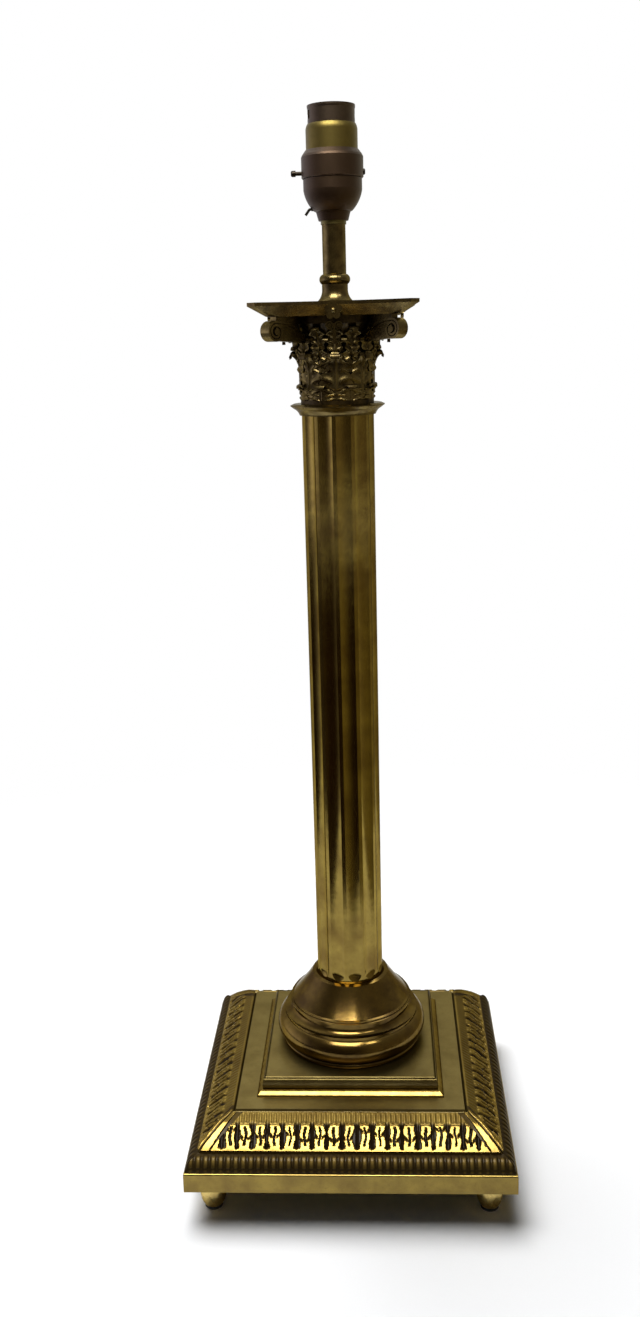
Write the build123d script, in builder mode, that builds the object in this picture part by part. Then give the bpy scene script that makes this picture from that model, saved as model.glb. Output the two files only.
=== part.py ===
from build123d import *

import math
import os

# Column table lamp: a square stepped base on four turned feet, a fluted column with a
# moulded foot, a Corinthian capital, a short stem and a push-bar bayonet lampholder.
# Millimetres, +Z up, origin on the floor under the column's axis, -Y towards the viewer.
# A hollow tie rod runs from the base to the lampholder and clamps the whole stack.

# ---------------------------------------------------------------- shared clearances
slip = 0.10  # radial gap of a turned piece that is slipped into its seat
thread_gap = 0.05  # radial gap left for a cut thread
rod_gap = 0.30  # radial gap of the holes that the tie rod passes through
seat_gap = 0.30  # gap of a piece that is bedded against a curved surface

# ---------------------------------------------------------------- feet
foot_height = 20.0  # floor to the underside of the base
foot_inset = 15.5  # centre of a foot from the side of the base
foot_radius = 7.9
foot_sole_radius = 5.8
foot_collar_radius = 8.4
foot_collar_height = 3.2
foot_neck_radius = 6.9
pad_thickness = 2.0
pad_radius = 5.5
stud_radius = 3.0
stud_length = 11.0
stud_hole_depth = 13.0
foot_boss_radius = 6.0

# ---------------------------------------------------------------- square base
base_half = 100.0  # half of the base's side
base_wall = 3.0
fascia_height = 12.5
fascia_edge = 1.2  # rounding of the fascia's top edge
cove_height = 8.7
cove_run = 6.4
cove_hollow = 1.5  # how deep the cove is drawn in
cove_fillet = 0.8
border_run = 19.8  # width of the leaf border, seen from above
border_rise = 15.0
border_swell = 0.9  # how far the leaf border bows outward
groove_width = 1.6
groove_depth = 0.9
ledge_lift = 0.8  # ledge above the inner edge of the leaf border
ledge_run = 13.2
step_run = 4.4
step_rise = 11.0
step_chamfer_run = 2.8  # sloping face at the foot of the step
step_chamfer_rise = 2.5
step_hollow = 0.8
step_edge = 1.4

# ---------------------------------------------------------------- leaves of the border
# Heights are shares of the way up the border's slope.
strip_leaf_pitch = 9.1
strip_leaf_width = 6.2
strip_leaf_relief = 1.3
strip_slot_width = 1.7  # open middle of a leaf
strip_head_relief = 0.7  # band of low leaf heads above the leaves
strip_mitre_gap = 0.2
strip_foot, strip_rail_top = 0.02, 0.13
strip_slot_foot, strip_slot_head = 0.18, 0.46
strip_heads_foot, strip_head = 0.58, 0.96

# ---------------------------------------------------------------- flex outlet at the back
outlet_bore_radius = 3.4
outlet_body_radius = 4.7
outlet_flange_radius = 5.4
outlet_flange_thickness = 2.6
outlet_rise = 5.6  # bore's axis above the underside of the base
outlet_recess = 0.1  # how far the nose stays inside the base's face

# ---------------------------------------------------------------- tie rod and its clamp
rod_radius = 4.9
rod_bore_radius = 3.2
rod_tail = 4.0  # rod below its nut
nut_across_flats = 17.0
nut_thickness = 5.0
washer_radius = 13.0
washer_thickness = 2.2
weight_gap = 3.6  # rim of the weight to the wall of the plateau
weight_thickness = 14.0

# ---------------------------------------------------------------- column foot
ring_height = 27.0
bead_radius = 45.5
bead_height = 3.5
bead_root = 44.1
torus_radius = 48.2
torus_bottom_radius = 45.6
torus_height = 14.5
torus_shoulder_radius = 44.4
quirk = 0.5  # small set-backs between the mouldings
fillet_radius = 43.4
fillet_height = 1.8
scotia_step = 1.2  # rim of the cup beyond the top of the foot ring
scotia_height = 3.0
scotia_hollow = 0.8
ring_cavity_radius = 36.0
ring_web = 4.0

cup_height = 20.0
cup_rim_step = 0.9  # how far the rim stands out from the list
cup_rim_height = 1.1
cup_list_radius = 38.5
cup_list_height = 1.0
cup_neck_radius = 24.6
cup_hollow = 0.4  # how far the bell side is drawn in
cup_wall = 3.4
socket_depth = 5.0
socket_floor = 3.0

# ---------------------------------------------------------------- column
column_radius = 21.1
column_length = 365.0
column_bore_radius = 18.4
flute_count = 12
flute_radius = 9.5
flute_depth = 1.5
flute_foot = 0.8  # plain tube below the rounded ends of the flutes
flute_turn = -5.0  # degrees that the first land stands off the front
disc_thickness = 5.0

# ---------------------------------------------------------------- neck ring
neck_height = 6.5
neck_radius = 27.5
neck_foot_radius = 22.3
neck_swell_radius = 25.4
neck_edge = 0.5
neck_web = 3.3
neck_top_radius = 25.6

# ---------------------------------------------------------------- capital
bell_height = 48.7
bell_collar_radius = 21.3
bell_collar_height = 2.2
bell_waist_radius = 20.0
bell_waist_share = 0.37  # share of the bell's height that is straight
bell_flare_end = 28.0
bell_lip_radius = 29.2
bell_lip_height = 4.1
bell_cavity_radius = 15.5
bell_web = 4.0

leaf_count = 8
leaf_thickness = 1.1
leaf_rib = 0.5
leaf_rib_width = 1.6
leaf_back_share = 0.8  # foot of the metal behind a leaf, as a share of the leaf's width
leaf_back_taper = 84.0  # degrees, slope of its sides
leaf_lean = 30.0  # degrees off upright where the head starts to roll over
leaf_roll = 165.0  # degrees that the head rolls over
leaf_lobe_rise = 0.17  # half height of a lobe, as a share of the leaf's height
# lobes from the foot up: centre's height and spread, and half width, as shares
leaf_lobes = ((0.18, 0.58, 0.40), (0.46, 0.56, 0.36), (0.70, 0.36, 0.28), (0.83, 0.10, 0.24))
lower_leaf_height = 7.4
lower_leaf_reach = 23.1
lower_leaf_half_width = 6.6
lower_leaf_curl = 0.75  # radius of the rolled head, at mid thickness
upper_leaf_root = 11.0  # where the upper leaves leave the sleeve, above the bell's foot
upper_leaf_height = 18.6
upper_leaf_reach = 26.5
upper_leaf_half_width = 7.4
upper_leaf_curl = 1.3
sleeve_height = 12.0  # thin ring that ties the leaves together
sleeve_wall = 0.6
sleeve_step = 0.2  # ring's bore beyond the back of the leaves
sleeve_rise = 0.3  # ring's foot above the foot of the lower leaves

volute_reach = 48.0  # centre of a corner scroll from the column's axis
volute_drop = 7.7  # centre of a corner scroll below the abacus
volute_radius = 5.0
volute_turn_step = 0.9  # how much the spiral closes in every half turn
volute_band = 1.2
volute_half_width = 3.6
volute_core_half_width = 2.4
volute_root_drop = 14.7
volute_eye_radius = 1.6
volute_eye_half_width = 4.2
volute_block_start = 30.5  # block that carries the abacus, from the column's axis
volute_block_end = 47.0

scroll_radius = 2.2
scroll_spread = 2.5
scroll_drop = 5.3
scroll_stalk = 10.0
scroll_stalk_width = 2.0
scroll_thickness = 1.8
scroll_eye_radius = 0.9

abacus_height = 7.5
abacus_slab = 1.9
abacus_half = 46.6
abacus_waist = 37.0  # middle of a hollow side from the axis
abacus_horn = 4.6  # width of the cut at a horn, along X or Y
abacus_cove = 9.6  # how far the underside is drawn in at a horn
abacus_waist_cove = 7.0

rosette_radius = 5.0
rosette_petals = 5
rosette_petal_radius = 2.0
rosette_thickness = 1.8
rosette_boss_radius = 1.5

# ---------------------------------------------------------------- stem
stem_base_height = 9.9
stem_base_radius = 10.0
stem_base_lip = 0.9
stem_waist_radius = 7.4
stem_collar_height = 5.6
stem_collar_radius = 8.8
stem_radius = 6.65
stem_length = 26.6

# ---------------------------------------------------------------- lampholder
entry_collar_radius = 7.2
entry_collar_height = 2.0
entry_shank_radius = 6.3
entry_shank_length = 8.9

cap_height = 22.0
cap_nose_radius = 8.4
cap_nose_height = 4.7
cap_nose_flare = 1.3
cap_step = 1.1
cap_radius = 16.45
cap_skirt = 5.8  # straight part of the cap at its rim
cap_wall = 2.15
cap_rim_gap = 0.3

body_radius = 17.3
body_height = 14.7
body_spigot_length = 4.9
body_spigot_wall = 2.0
body_shoulder = 3.6
body_shoulder_run = 2.4
body_ledge_height = 7.1  # ledge under the insulator, above the body's lower rim
body_ledge_width = 1.05

block_flange_thickness = 4.0
block_height = 14.4
block_boss_radius = 11.5

barrel_length = 26.6
barrel_radius = 13.1
socket_radius = 11.25  # takes a bayonet lamp cap of 22 mm
socket_depth_clear = 13.0
barrel_rim_radius = 13.35
barrel_rim_height = 2.0
slot_width = 2.6
slot_depth = 7.0
slot_turn = 20.0  # degrees round the barrel to the resting notch
slot_notch = 1.8

skirt_radius = 14.4  # takes a shade ring of 29 mm
skirt_height = 13.4
skirt_straight = 9.6
skirt_top_radius = 13.5

plunger_spread = 4.6
plunger_tip_radius = 1.72
plunger_tip_gap = 0.08
plunger_nose = 0.8  # height of the rounded tip
plunger_rise = 2.9  # tip above the insulator when nothing presses it
plunger_flange_radius = 2.25
plunger_flange_height = 2.5
plunger_tail_radius = 1.1
plunger_tail_length = 3.0
plunger_lid = 2.0  # insulator left above the flange
spring_wire_radius = 0.25
spring_radius = 1.7
spring_turns = 6
terminal_height = 2.4
terminal_recess = 0.6
screw_radius = 1.2
screw_sink = 0.4

bar_length = 41.5
bar_radius = 1.1
bar_end_radius = 1.7
bar_end_length = 2.6
bar_travel = 4.9
bar_height = 3.1  # axis of the push bar above the body's lower rim
bar_hole_gap = 0.25
carriage_length = 6.0
carriage_half_width = 3.0
carriage_half_height = 3.0
contact_strip_thickness = 0.5
contact_strip_gap = 0.6
contact_strip_height = 6.0
contact_strip_length = 6.0

lock_height = 6.4  # locking screw's axis above the cap's foot
lock_radius = 1.0
lock_hole_gap = 0.10
lock_tip_gap = 0.15
lock_reach = 12.2
lock_tail_radius = 0.75
lock_tail_run = 3.4
lock_tail_drop = 3.1
lock_bend_radius = 1.2

# ---------------------------------------------------------------- levels of the stack
base_bottom = foot_height
fascia_top = base_bottom + fascia_height
cove_top = fascia_top + cove_height
border_top = cove_top + border_rise
ledge_top = border_top + ledge_lift
plateau_level = ledge_top + step_rise
roof_level = plateau_level - base_wall - 0.5
weight_bottom = roof_level - weight_thickness
washer_bottom = weight_bottom - washer_thickness
nut_bottom = washer_bottom - nut_thickness
rod_bottom = nut_bottom - rod_tail
cup_bottom = plateau_level + ring_height
column_bottom = cup_bottom + cup_height - socket_depth
column_top = column_bottom + column_length
neck_bottom = column_top + neck_web - neck_height
neck_top = column_top + neck_web
bell_top = neck_top + bell_height
abacus_top = bell_top + abacus_height
collar_bottom = abacus_top + stem_base_height
stem_bottom = collar_bottom + stem_collar_height
stem_top = stem_bottom + stem_length
cap_bottom = stem_top + entry_collar_height
cap_top = cap_bottom + cap_height
body_bottom = cap_top + cap_rim_gap
body_top = body_bottom + body_height
ledge_level = body_bottom + body_ledge_height
barrel_bottom = ledge_level + block_flange_thickness
block_top = ledge_level + block_height
barrel_top = barrel_bottom + barrel_length
rod_top = cap_bottom + entry_shank_length + 0.5
bar_level = body_bottom + bar_height
lock_level = cap_bottom + lock_height

cup_rim_radius = cup_list_radius + cup_rim_step
scotia_radius = cup_rim_radius - scotia_step
foot_spread = base_half - foot_inset
rod_hole = rod_radius + rod_gap
rod_thread = rod_radius + thread_gap
column_socket_radius = column_radius + slip
ARC = 360.0

os.makedirs("parts", exist_ok=True)


def write(piece, label):
    """Label a finished piece and write its STEP file."""
    piece.label = label
    export_step(piece, f"parts/{label}.step")


# ================================================================ square base
# Half-sides of the mouldings, from the outside in.
cove_half = base_half - fascia_edge
border_half = cove_half - cove_run - cove_fillet
groove_half = border_half - border_run
ledge_half = groove_half - groove_width
step_half = ledge_half - ledge_run
plateau_half = step_half - step_run
weight_radius = plateau_half - base_wall - weight_gap

# One side of the base, cut to its mitres: the outer block and the hollow under it.
mitre_reach = base_half + base_wall
with BuildPart() as base_side:
    with BuildSketch(Plane.YZ):
        with BuildLine():
            fascia = Line((-base_half, base_bottom), (-base_half, fascia_top - fascia_edge))
            edge = ThreePointArc(
                fascia @ 1,
                (-base_half + 0.3 * fascia_edge, fascia_top - 0.3 * fascia_edge),
                (-cove_half, fascia_top),
            )
            cove = SagittaArc(edge @ 1, (-cove_half + cove_run, cove_top - cove_fillet), cove_hollow)
            fillet_up = Line(cove @ 1, (-border_half, cove_top))
            border = SagittaArc(fillet_up @ 1, (-groove_half, border_top), -border_swell)
            groove = Polyline(
                border @ 1,
                (-groove_half + groove_width / 2, border_top - groove_depth),
                (-ledge_half, ledge_top),
                (-step_half, ledge_top),
            )
            chamfer_line = Line(
                groove @ 1,
                (-step_half + step_chamfer_run, ledge_top + step_chamfer_rise),
            )
            step = SagittaArc(
                chamfer_line @ 1,
                (-plateau_half - step_edge, plateau_level - step_edge),
                step_hollow,
            )
            rim = ThreePointArc(
                step @ 1,
                (-plateau_half - 0.3 * step_edge, plateau_level - 0.3 * step_edge),
                (-plateau_half + 0.2 * step_edge, plateau_level),
            )
            Polyline(rim @ 1, (0, plateau_level), (0, base_bottom), (-base_half, base_bottom))
        make_face()
    extrude(amount=mitre_reach, both=True)
    with BuildSketch(Plane.XY):
        Polygon((0, 0), (-mitre_reach, -mitre_reach), (mitre_reach, -mitre_reach), align=None)
    extrude(amount=plateau_level + base_wall, mode=Mode.INTERSECT)

inner_half = base_half - base_wall
with BuildPart() as hollow_side:
    with BuildSketch(Plane.YZ):
        with BuildLine():
            Polyline(
                (-inner_half, base_bottom),
                (-inner_half, fascia_top - base_wall / 2),
                (-border_half + base_wall, cove_top - base_wall),
                (-groove_half + base_wall / 3, border_top - base_wall),
                (-step_half + base_wall, border_top - base_wall),
                (-plateau_half + base_wall, roof_level),
                (0, roof_level),
                (0, base_bottom),
                (-inner_half, base_bottom),
            )
        make_face()
    extrude(amount=mitre_reach, both=True)
    with BuildSketch(Plane.XY):
        Polygon((0, 0), (-mitre_reach, -mitre_reach), (mitre_reach, -mitre_reach), align=None)
    extrude(amount=plateau_level, mode=Mode.INTERSECT)

# The hollow as one block, with the corner bosses for the feet left standing in it.
with BuildPart() as base_hollow:
    with PolarLocations(0, 4):
        add(hollow_side.part)
    with BuildSketch(Plane.XY.offset(base_bottom)):
        with GridLocations(2 * foot_spread, 2 * foot_spread, 2, 2):
            Circle(foot_boss_radius)
    extrude(amount=plateau_level - base_bottom, mode=Mode.SUBTRACT)

outlet_level = base_bottom + outlet_rise
with BuildPart() as base_block:
    with PolarLocations(0, 4):
        add(base_side.part)
    add(base_hollow.part, mode=Mode.SUBTRACT)
    with BuildSketch(Plane.XY.offset(plateau_level)):
        Circle(rod_hole)
    extrude(amount=-2 * base_wall, mode=Mode.SUBTRACT)
    with BuildSketch(Plane.XY.offset(base_bottom)):
        with GridLocations(2 * foot_spread, 2 * foot_spread, 2, 2):
            Circle(stud_radius + thread_gap)
    extrude(amount=stud_hole_depth, mode=Mode.SUBTRACT)
    with BuildSketch(Plane.XZ.offset(-base_half)):
        with Locations((0, outlet_level)):
            Circle(outlet_body_radius + slip)
    extrude(amount=2 * base_wall, mode=Mode.SUBTRACT)

# It is cast in two pieces: the frame with the fascia, the cove and the bosses for the feet,
# and the hood with the leaf border and the plateau, which sits on the frame's flat top.
casting_joint = Plane.XY.offset(cove_top)
with BuildPart() as base_frame:
    add(base_block.part)
    split(bisect_by=casting_joint, keep=Keep.BOTTOM)
write(base_frame.part, "base_frame")

with BuildPart() as base_plinth:
    add(base_block.part)
    split(bisect_by=casting_joint, keep=Keep.TOP)
write(base_plinth.part, "base_plinth")

# ================================================================ leaf border
# Four pierced strips, one on each slope: a foot rail, leaves with an open middle, low heads.
slope_run = border_half - groove_half
slope_rise = border_top - cove_top
slope_length = math.hypot(slope_run, slope_rise)


def on_slope(share, lift):
    """Point of the front slope's section, a share of the way up and lifted off its surface."""
    off = lift + 4 * border_swell * share * (1 - share)
    return (
        -border_half + slope_run * share - slope_rise / slope_length * off,
        cove_top + slope_rise * share + slope_run / slope_length * off,
    )


def slope_arc(foot, head, lift):
    """Line that follows the slope between two heights, lifted off it."""
    middle = (foot + head) / 2
    return ThreePointArc(on_slope(foot, lift), on_slope(middle, lift), on_slope(head, lift))


def slope_cut(foot, head):
    """Section of a straight cut through a strip, from one height on the slope to another."""
    above = 3 * strip_leaf_relief
    Polygon(
        on_slope(foot, -strip_leaf_relief),
        on_slope(head, -strip_leaf_relief),
        on_slope(head, above),
        on_slope(foot, above),
        align=None,
    )


heads_half = border_half - slope_run * strip_heads_foot
leaves_each_way = int((heads_half - strip_leaf_width / 2) / strip_leaf_pitch)
with BuildPart() as leaf_gap:
    with BuildSketch(Plane.YZ):
        slope_cut(strip_rail_top, strip_heads_foot)
    extrude(amount=(strip_leaf_pitch - strip_leaf_width) / 2, both=True)

with BuildPart() as leaf_slot:
    with BuildSketch(Plane.YZ):
        slope_cut(strip_slot_foot, strip_slot_head)
    extrude(amount=strip_slot_width / 2, both=True)

with BuildPart() as border_strip:
    with BuildSketch(Plane.YZ):
        with BuildLine():
            strip_face = slope_arc(strip_foot, strip_head, strip_leaf_relief)
            strip_back = slope_arc(strip_foot, strip_head, seat_gap)
            Line(strip_face @ 0, strip_back @ 0)
            Line(strip_face @ 1, strip_back @ 1)
        make_face()
    extrude(amount=mitre_reach, both=True)
    # low heads
    with BuildSketch(Plane.YZ):
        with BuildLine():
            heads_line = slope_arc(strip_heads_foot, strip_head, strip_head_relief)
            Polyline(
                heads_line @ 1,
                on_slope(1, strip_head_relief),
                on_slope(1, 3 * strip_leaf_relief),
                on_slope(strip_heads_foot, 3 * strip_leaf_relief),
                heads_line @ 0,
            )
        make_face()
    extrude(amount=mitre_reach, both=True, mode=Mode.SUBTRACT)
    # gaps between the leaves; the last ones leave the long leaves beside the mitres
    with GridLocations(strip_leaf_pitch, 0, 2 * leaves_each_way + 2, 1):
        add(leaf_gap.part, mode=Mode.SUBTRACT)
    with GridLocations(strip_leaf_pitch, 0, 2 * leaves_each_way + 1, 1):
        add(leaf_slot.part, mode=Mode.SUBTRACT)
    with BuildSketch(Plane.XY):
        Polygon(
            (0, -strip_mitre_gap),
            (-mitre_reach, -mitre_reach - strip_mitre_gap),
            (mitre_reach, -mitre_reach - strip_mitre_gap),
            align=None,
        )
    extrude(amount=plateau_level, mode=Mode.INTERSECT)

with BuildPart() as border_leaves:
    with PolarLocations(0, 4):
        add(border_strip.part)
write(border_leaves.part, "border_leaves")

# ================================================================ feet
foot_corners = {
    "front_left": (-foot_spread, -foot_spread),
    "front_right": (foot_spread, -foot_spread),
    "rear_left": (-foot_spread, foot_spread),
    "rear_right": (foot_spread, foot_spread),
}
collar_level = foot_height - foot_collar_height
for corner, (foot_x, foot_y) in foot_corners.items():
    with BuildPart() as foot:
        with BuildSketch(Plane.XZ):
            with BuildLine():
                sole = Line((0, pad_thickness), (foot_sole_radius, pad_thickness))
                bun = ThreePointArc(
                    sole @ 1,
                    (foot_radius, (pad_thickness + collar_level) * 0.45),
                    (foot_neck_radius, collar_level),
                )
                Polyline(
                    bun @ 1,
                    (foot_collar_radius, collar_level + foot_collar_height / 3),
                    (foot_collar_radius, foot_height),
                    (stud_radius, foot_height),
                    (stud_radius, foot_height + stud_length),
                    (0, foot_height + stud_length),
                    (0, pad_thickness),
                )
            make_face()
        revolve(axis=Axis.Z)
    placed_foot = foot.part.moved(Location((foot_x, foot_y, 0)))
    write(placed_foot, f"foot_{corner}")

with BuildPart() as foot_pads:
    with BuildSketch():
        with GridLocations(2 * foot_spread, 2 * foot_spread, 2, 2):
            Circle(pad_radius)
    extrude(amount=pad_thickness)
write(foot_pads.part, "foot_pads")

# ================================================================ flex outlet bush
# Its nose stands just inside the back face, its flange against the inside of the wall.
outlet_depth = base_wall - outlet_recess + outlet_flange_thickness
with BuildPart() as cord_bush:
    with BuildSketch(Plane.XZ.offset(outlet_recess - base_half)):
        with Locations((0, outlet_level)):
            Circle(outlet_body_radius)
    extrude(amount=outlet_depth)
    with BuildSketch(Plane.XZ.offset(base_wall - base_half)):
        with Locations((0, outlet_level)):
            Circle(outlet_flange_radius)
    extrude(amount=outlet_flange_thickness)
    with BuildSketch(Plane.XZ.offset(outlet_recess - base_half)):
        with Locations((0, outlet_level)):
            Circle(outlet_bore_radius)
    extrude(amount=outlet_depth, mode=Mode.SUBTRACT)
write(cord_bush.part, "cord_bush")

# ================================================================ clamp under the base
with BuildPart() as base_weight:
    with BuildSketch(Plane.XY.offset(weight_bottom)):
        Circle(weight_radius)
        Circle(rod_hole, mode=Mode.SUBTRACT)
    extrude(amount=weight_thickness)
    chamfer(base_weight.edges().filter_by(GeomType.CIRCLE).group_by(Axis.Z)[0].sort_by(SortBy.RADIUS)[-1], 1.5)
write(base_weight.part, "base_weight")

with BuildPart() as rod_washer:
    with BuildSketch(Plane.XY.offset(washer_bottom)):
        Circle(washer_radius)
        Circle(rod_hole, mode=Mode.SUBTRACT)
    extrude(amount=washer_thickness)
write(rod_washer.part, "rod_washer")

with BuildPart() as rod_nut:
    with BuildSketch(Plane.XY.offset(nut_bottom)):
        RegularPolygon(nut_across_flats / 2, 6, major_radius=False)
        Circle(rod_thread, mode=Mode.SUBTRACT)
    extrude(amount=nut_thickness)
write(rod_nut.part, "rod_nut")

with BuildPart() as tie_rod:
    with BuildSketch(Plane.XY.offset(rod_bottom)):
        Circle(rod_radius)
        Circle(rod_bore_radius, mode=Mode.SUBTRACT)
    extrude(amount=rod_top - rod_bottom)
write(tie_rod.part, "tie_rod")

# ================================================================ moulded foot of the column
torus_bottom = plateau_level + bead_height + quirk
torus_top = torus_bottom + torus_height
fillet_bottom = torus_top + quirk
scotia_bottom = fillet_bottom + fillet_height
with BuildPart() as column_torus:
    with BuildSketch(Plane.XZ):
        with BuildLine():
            bead = ThreePointArc(
                (bead_root, plateau_level),
                (bead_radius, plateau_level + bead_height / 2),
                (bead_root + 0.4, plateau_level + bead_height),
            )
            under = Line(bead @ 1, (torus_bottom_radius, torus_bottom))
            torus = ThreePointArc(
                under @ 1,
                (torus_radius, torus_bottom + 0.4 * torus_height),
                (torus_shoulder_radius, torus_top),
            )
            fillet_line = Polyline(
                torus @ 1,
                (fillet_radius, fillet_bottom),
                (fillet_radius, scotia_bottom),
                (fillet_radius - 0.7, scotia_bottom),
            )
            scotia = SagittaArc(
                fillet_line @ 1,
                (scotia_radius, scotia_bottom + scotia_height),
                scotia_hollow,
            )
            Polyline(
                scotia @ 1,
                (scotia_radius, cup_bottom),
                (rod_hole, cup_bottom),
                (rod_hole, cup_bottom - ring_web),
                (ring_cavity_radius - ring_web, cup_bottom - ring_web),
                (ring_cavity_radius, torus_top),
                (ring_cavity_radius, plateau_level),
                (bead_root, plateau_level),
            )
        make_face()
    revolve(axis=Axis.Z)
write(column_torus.part, "column_torus")

cup_top = cup_bottom + cup_height
list_bottom = cup_bottom + cup_rim_height + 0.3
bell_side_bottom = list_bottom + cup_list_height + 0.4
cup_floor = column_bottom - socket_floor
with BuildPart() as column_cup:
    with BuildSketch(Plane.XZ):
        with BuildLine():
            rims = Polyline(
                (cup_rim_radius, cup_bottom),
                (cup_rim_radius, cup_bottom + cup_rim_height),
                (cup_list_radius, list_bottom),
                (cup_list_radius, list_bottom + cup_list_height),
                (cup_list_radius - 1.2, bell_side_bottom),
            )
            flare = SagittaArc(rims @ 1, (cup_neck_radius, cup_top - 0.7), cup_hollow)
            Polyline(
                flare @ 1,
                (column_socket_radius + 1.3, cup_top),
                (column_socket_radius, cup_top - 0.4),
                (column_socket_radius, column_bottom),
                (column_bore_radius - 1.0, column_bottom),
                (column_bore_radius - 1.0, cup_floor),
                (cup_neck_radius + 0.9, cup_floor),
                (cup_list_radius - cup_wall - 1.2, bell_side_bottom + 0.6),
                (cup_list_radius - cup_wall, cup_bottom),
                (cup_rim_radius, cup_bottom),
            )
        make_face()
    revolve(axis=Axis.Z)
write(column_cup.part, "column_cup")

# ================================================================ fluted column
# Each flute is the trace of a long round bar with a ball end, so its foot is rounded.
flute_axis = column_radius - flute_depth + flute_radius
flute_end_rise = math.sqrt(flute_radius**2 - (flute_axis - column_radius) ** 2)
flute_bottom = cup_top + flute_foot + flute_end_rise
with BuildPart() as column_tube:
    with BuildSketch(Plane.XY.offset(column_bottom)):
        Circle(column_radius)
        Circle(column_bore_radius, mode=Mode.SUBTRACT)
    extrude(amount=column_length)
    land_angle = -90.0 + flute_turn
    flute_start = land_angle + ARC / flute_count / 2
    with BuildSketch(Plane.XY.offset(flute_bottom)):
        with PolarLocations(flute_axis, flute_count, start_angle=flute_start):
            Circle(flute_radius)
    extrude(amount=column_top - flute_bottom, mode=Mode.SUBTRACT)
    with Locations((0, 0, flute_bottom)):
        with PolarLocations(flute_axis, flute_count, start_angle=flute_start):
            Sphere(flute_radius, mode=Mode.SUBTRACT)
write(column_tube.part, "column_tube")

disc_radius = column_bore_radius - slip
with BuildPart() as column_foot_disc:
    with BuildSketch(Plane.XY.offset(column_bottom)):
        Circle(disc_radius)
        Circle(rod_hole, mode=Mode.SUBTRACT)
    extrude(amount=disc_thickness)
write(column_foot_disc.part, "column_foot_disc")

with BuildPart() as column_head_disc:
    with BuildSketch(Plane.XY.offset(column_top)):
        Circle(disc_radius)
        Circle(rod_hole, mode=Mode.SUBTRACT)
    extrude(amount=-disc_thickness)
write(column_head_disc.part, "column_head_disc")

# ================================================================ neck ring
with BuildPart() as neck_ring:
    with BuildSketch(Plane.XZ):
        with BuildLine():
            swell = SagittaArc(
                (neck_foot_radius, neck_bottom),
                (neck_swell_radius, neck_bottom + neck_height * 0.56),
                0.5,
            )
            Polyline(
                swell @ 1,
                (neck_radius, neck_top - neck_edge - 0.8),
                (neck_radius, neck_top - 0.8),
                (neck_top_radius, neck_top),
                (rod_hole, neck_top),
                (rod_hole, column_top),
                (column_socket_radius, column_top),
                (column_socket_radius, neck_bottom),
                (neck_foot_radius, neck_bottom),
            )
        make_face()
    revolve(axis=Axis.Z)
write(neck_ring.part, "neck_ring")

# ================================================================ capital: the bell
collar_top = neck_top + bell_collar_height
lip_bottom = bell_top - bell_lip_height
waist_top = neck_top + bell_waist_share * bell_height
with BuildPart() as capital_bell:
    with BuildSketch(Plane.XZ):
        with BuildLine():
            collar = Polyline(
                (bell_collar_radius, neck_top),
                (bell_collar_radius, collar_top),
                (bell_waist_radius, collar_top),
                (bell_waist_radius, waist_top),
            )
            flare = TangentArc(collar @ 1, (bell_flare_end, lip_bottom), tangent=(0, 1))
            Polyline(
                flare @ 1,
                (bell_lip_radius, lip_bottom),
                (bell_lip_radius, bell_top),
                (rod_hole, bell_top),
                (rod_hole, bell_top - bell_web),
                (bell_cavity_radius, bell_top - 2 * bell_web),
                (bell_cavity_radius, neck_top),
                (bell_collar_radius, neck_top),
            )
        make_face()
    revolve(axis=Axis.Z)
write(capital_bell.part, "capital_bell")

# The bell's side is upright to the top of its waist, then part of a large circle.
bell_run = bell_flare_end - bell_waist_radius
bell_rise = lip_bottom - waist_top
bell_curve = (bell_run**2 + bell_rise**2) / (2 * bell_run)


def bell_radius(level):
    """Radius of the bell's flaring side at a level above its waist."""
    climb = max(level - waist_top, 0.0)
    return bell_waist_radius + bell_curve - math.sqrt(bell_curve**2 - climb**2)


# ================================================================ capital: acanthus leaves
# A leaf is a ring of its side section, cut to the leaf's outline as seen from outside.
leaf_inner = bell_waist_radius + seat_gap
leaf_cut_depth = 30.0


def leaf_outline(half_width, foot, height):
    """Outline of an acanthus leaf: a tapering middle and pairs of round lobes."""
    with Locations((0, foot)):
        Trapezoid(half_width, 0.9 * height, 78.0, align=(Align.CENTER, Align.MIN))
    for rise, spread, size in leaf_lobes:
        lobe_x = spread * half_width
        lobe_z = foot + rise * height
        with Locations((-lobe_x, lobe_z), (lobe_x, lobe_z)):
            Ellipse(size * half_width, leaf_lobe_rise * height)


def leaf_back_line(foot, tip, reach, curl, thickness):
    """Side view of a leaf at mid thickness, up to its head: up the bell, then leaning out."""
    lean = math.radians(leaf_lean)
    stand = leaf_inner + leaf_thickness / 2
    curl_x = reach - thickness / 2 - curl
    curl_z = tip - thickness / 2 - curl
    back_x = curl_x - curl * math.cos(lean)
    back_z = curl_z + curl * math.sin(lean)
    back_radius = (back_x - stand) / (1 - math.cos(lean))
    upright = Line((stand, foot), (stand, back_z - back_radius * math.sin(lean)))
    return JernArc(start=upright @ 1, tangent=upright % 1, radius=back_radius, arc_size=-leaf_lean)


def leaf_line(foot, tip, reach, curl, thickness):
    """Side view of a whole leaf at mid thickness, with its head rolled over."""
    back = leaf_back_line(foot, tip, reach, curl, thickness)
    JernArc(start=back @ 1, tangent=back % 1, radius=curl, arc_size=-leaf_roll)


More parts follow.
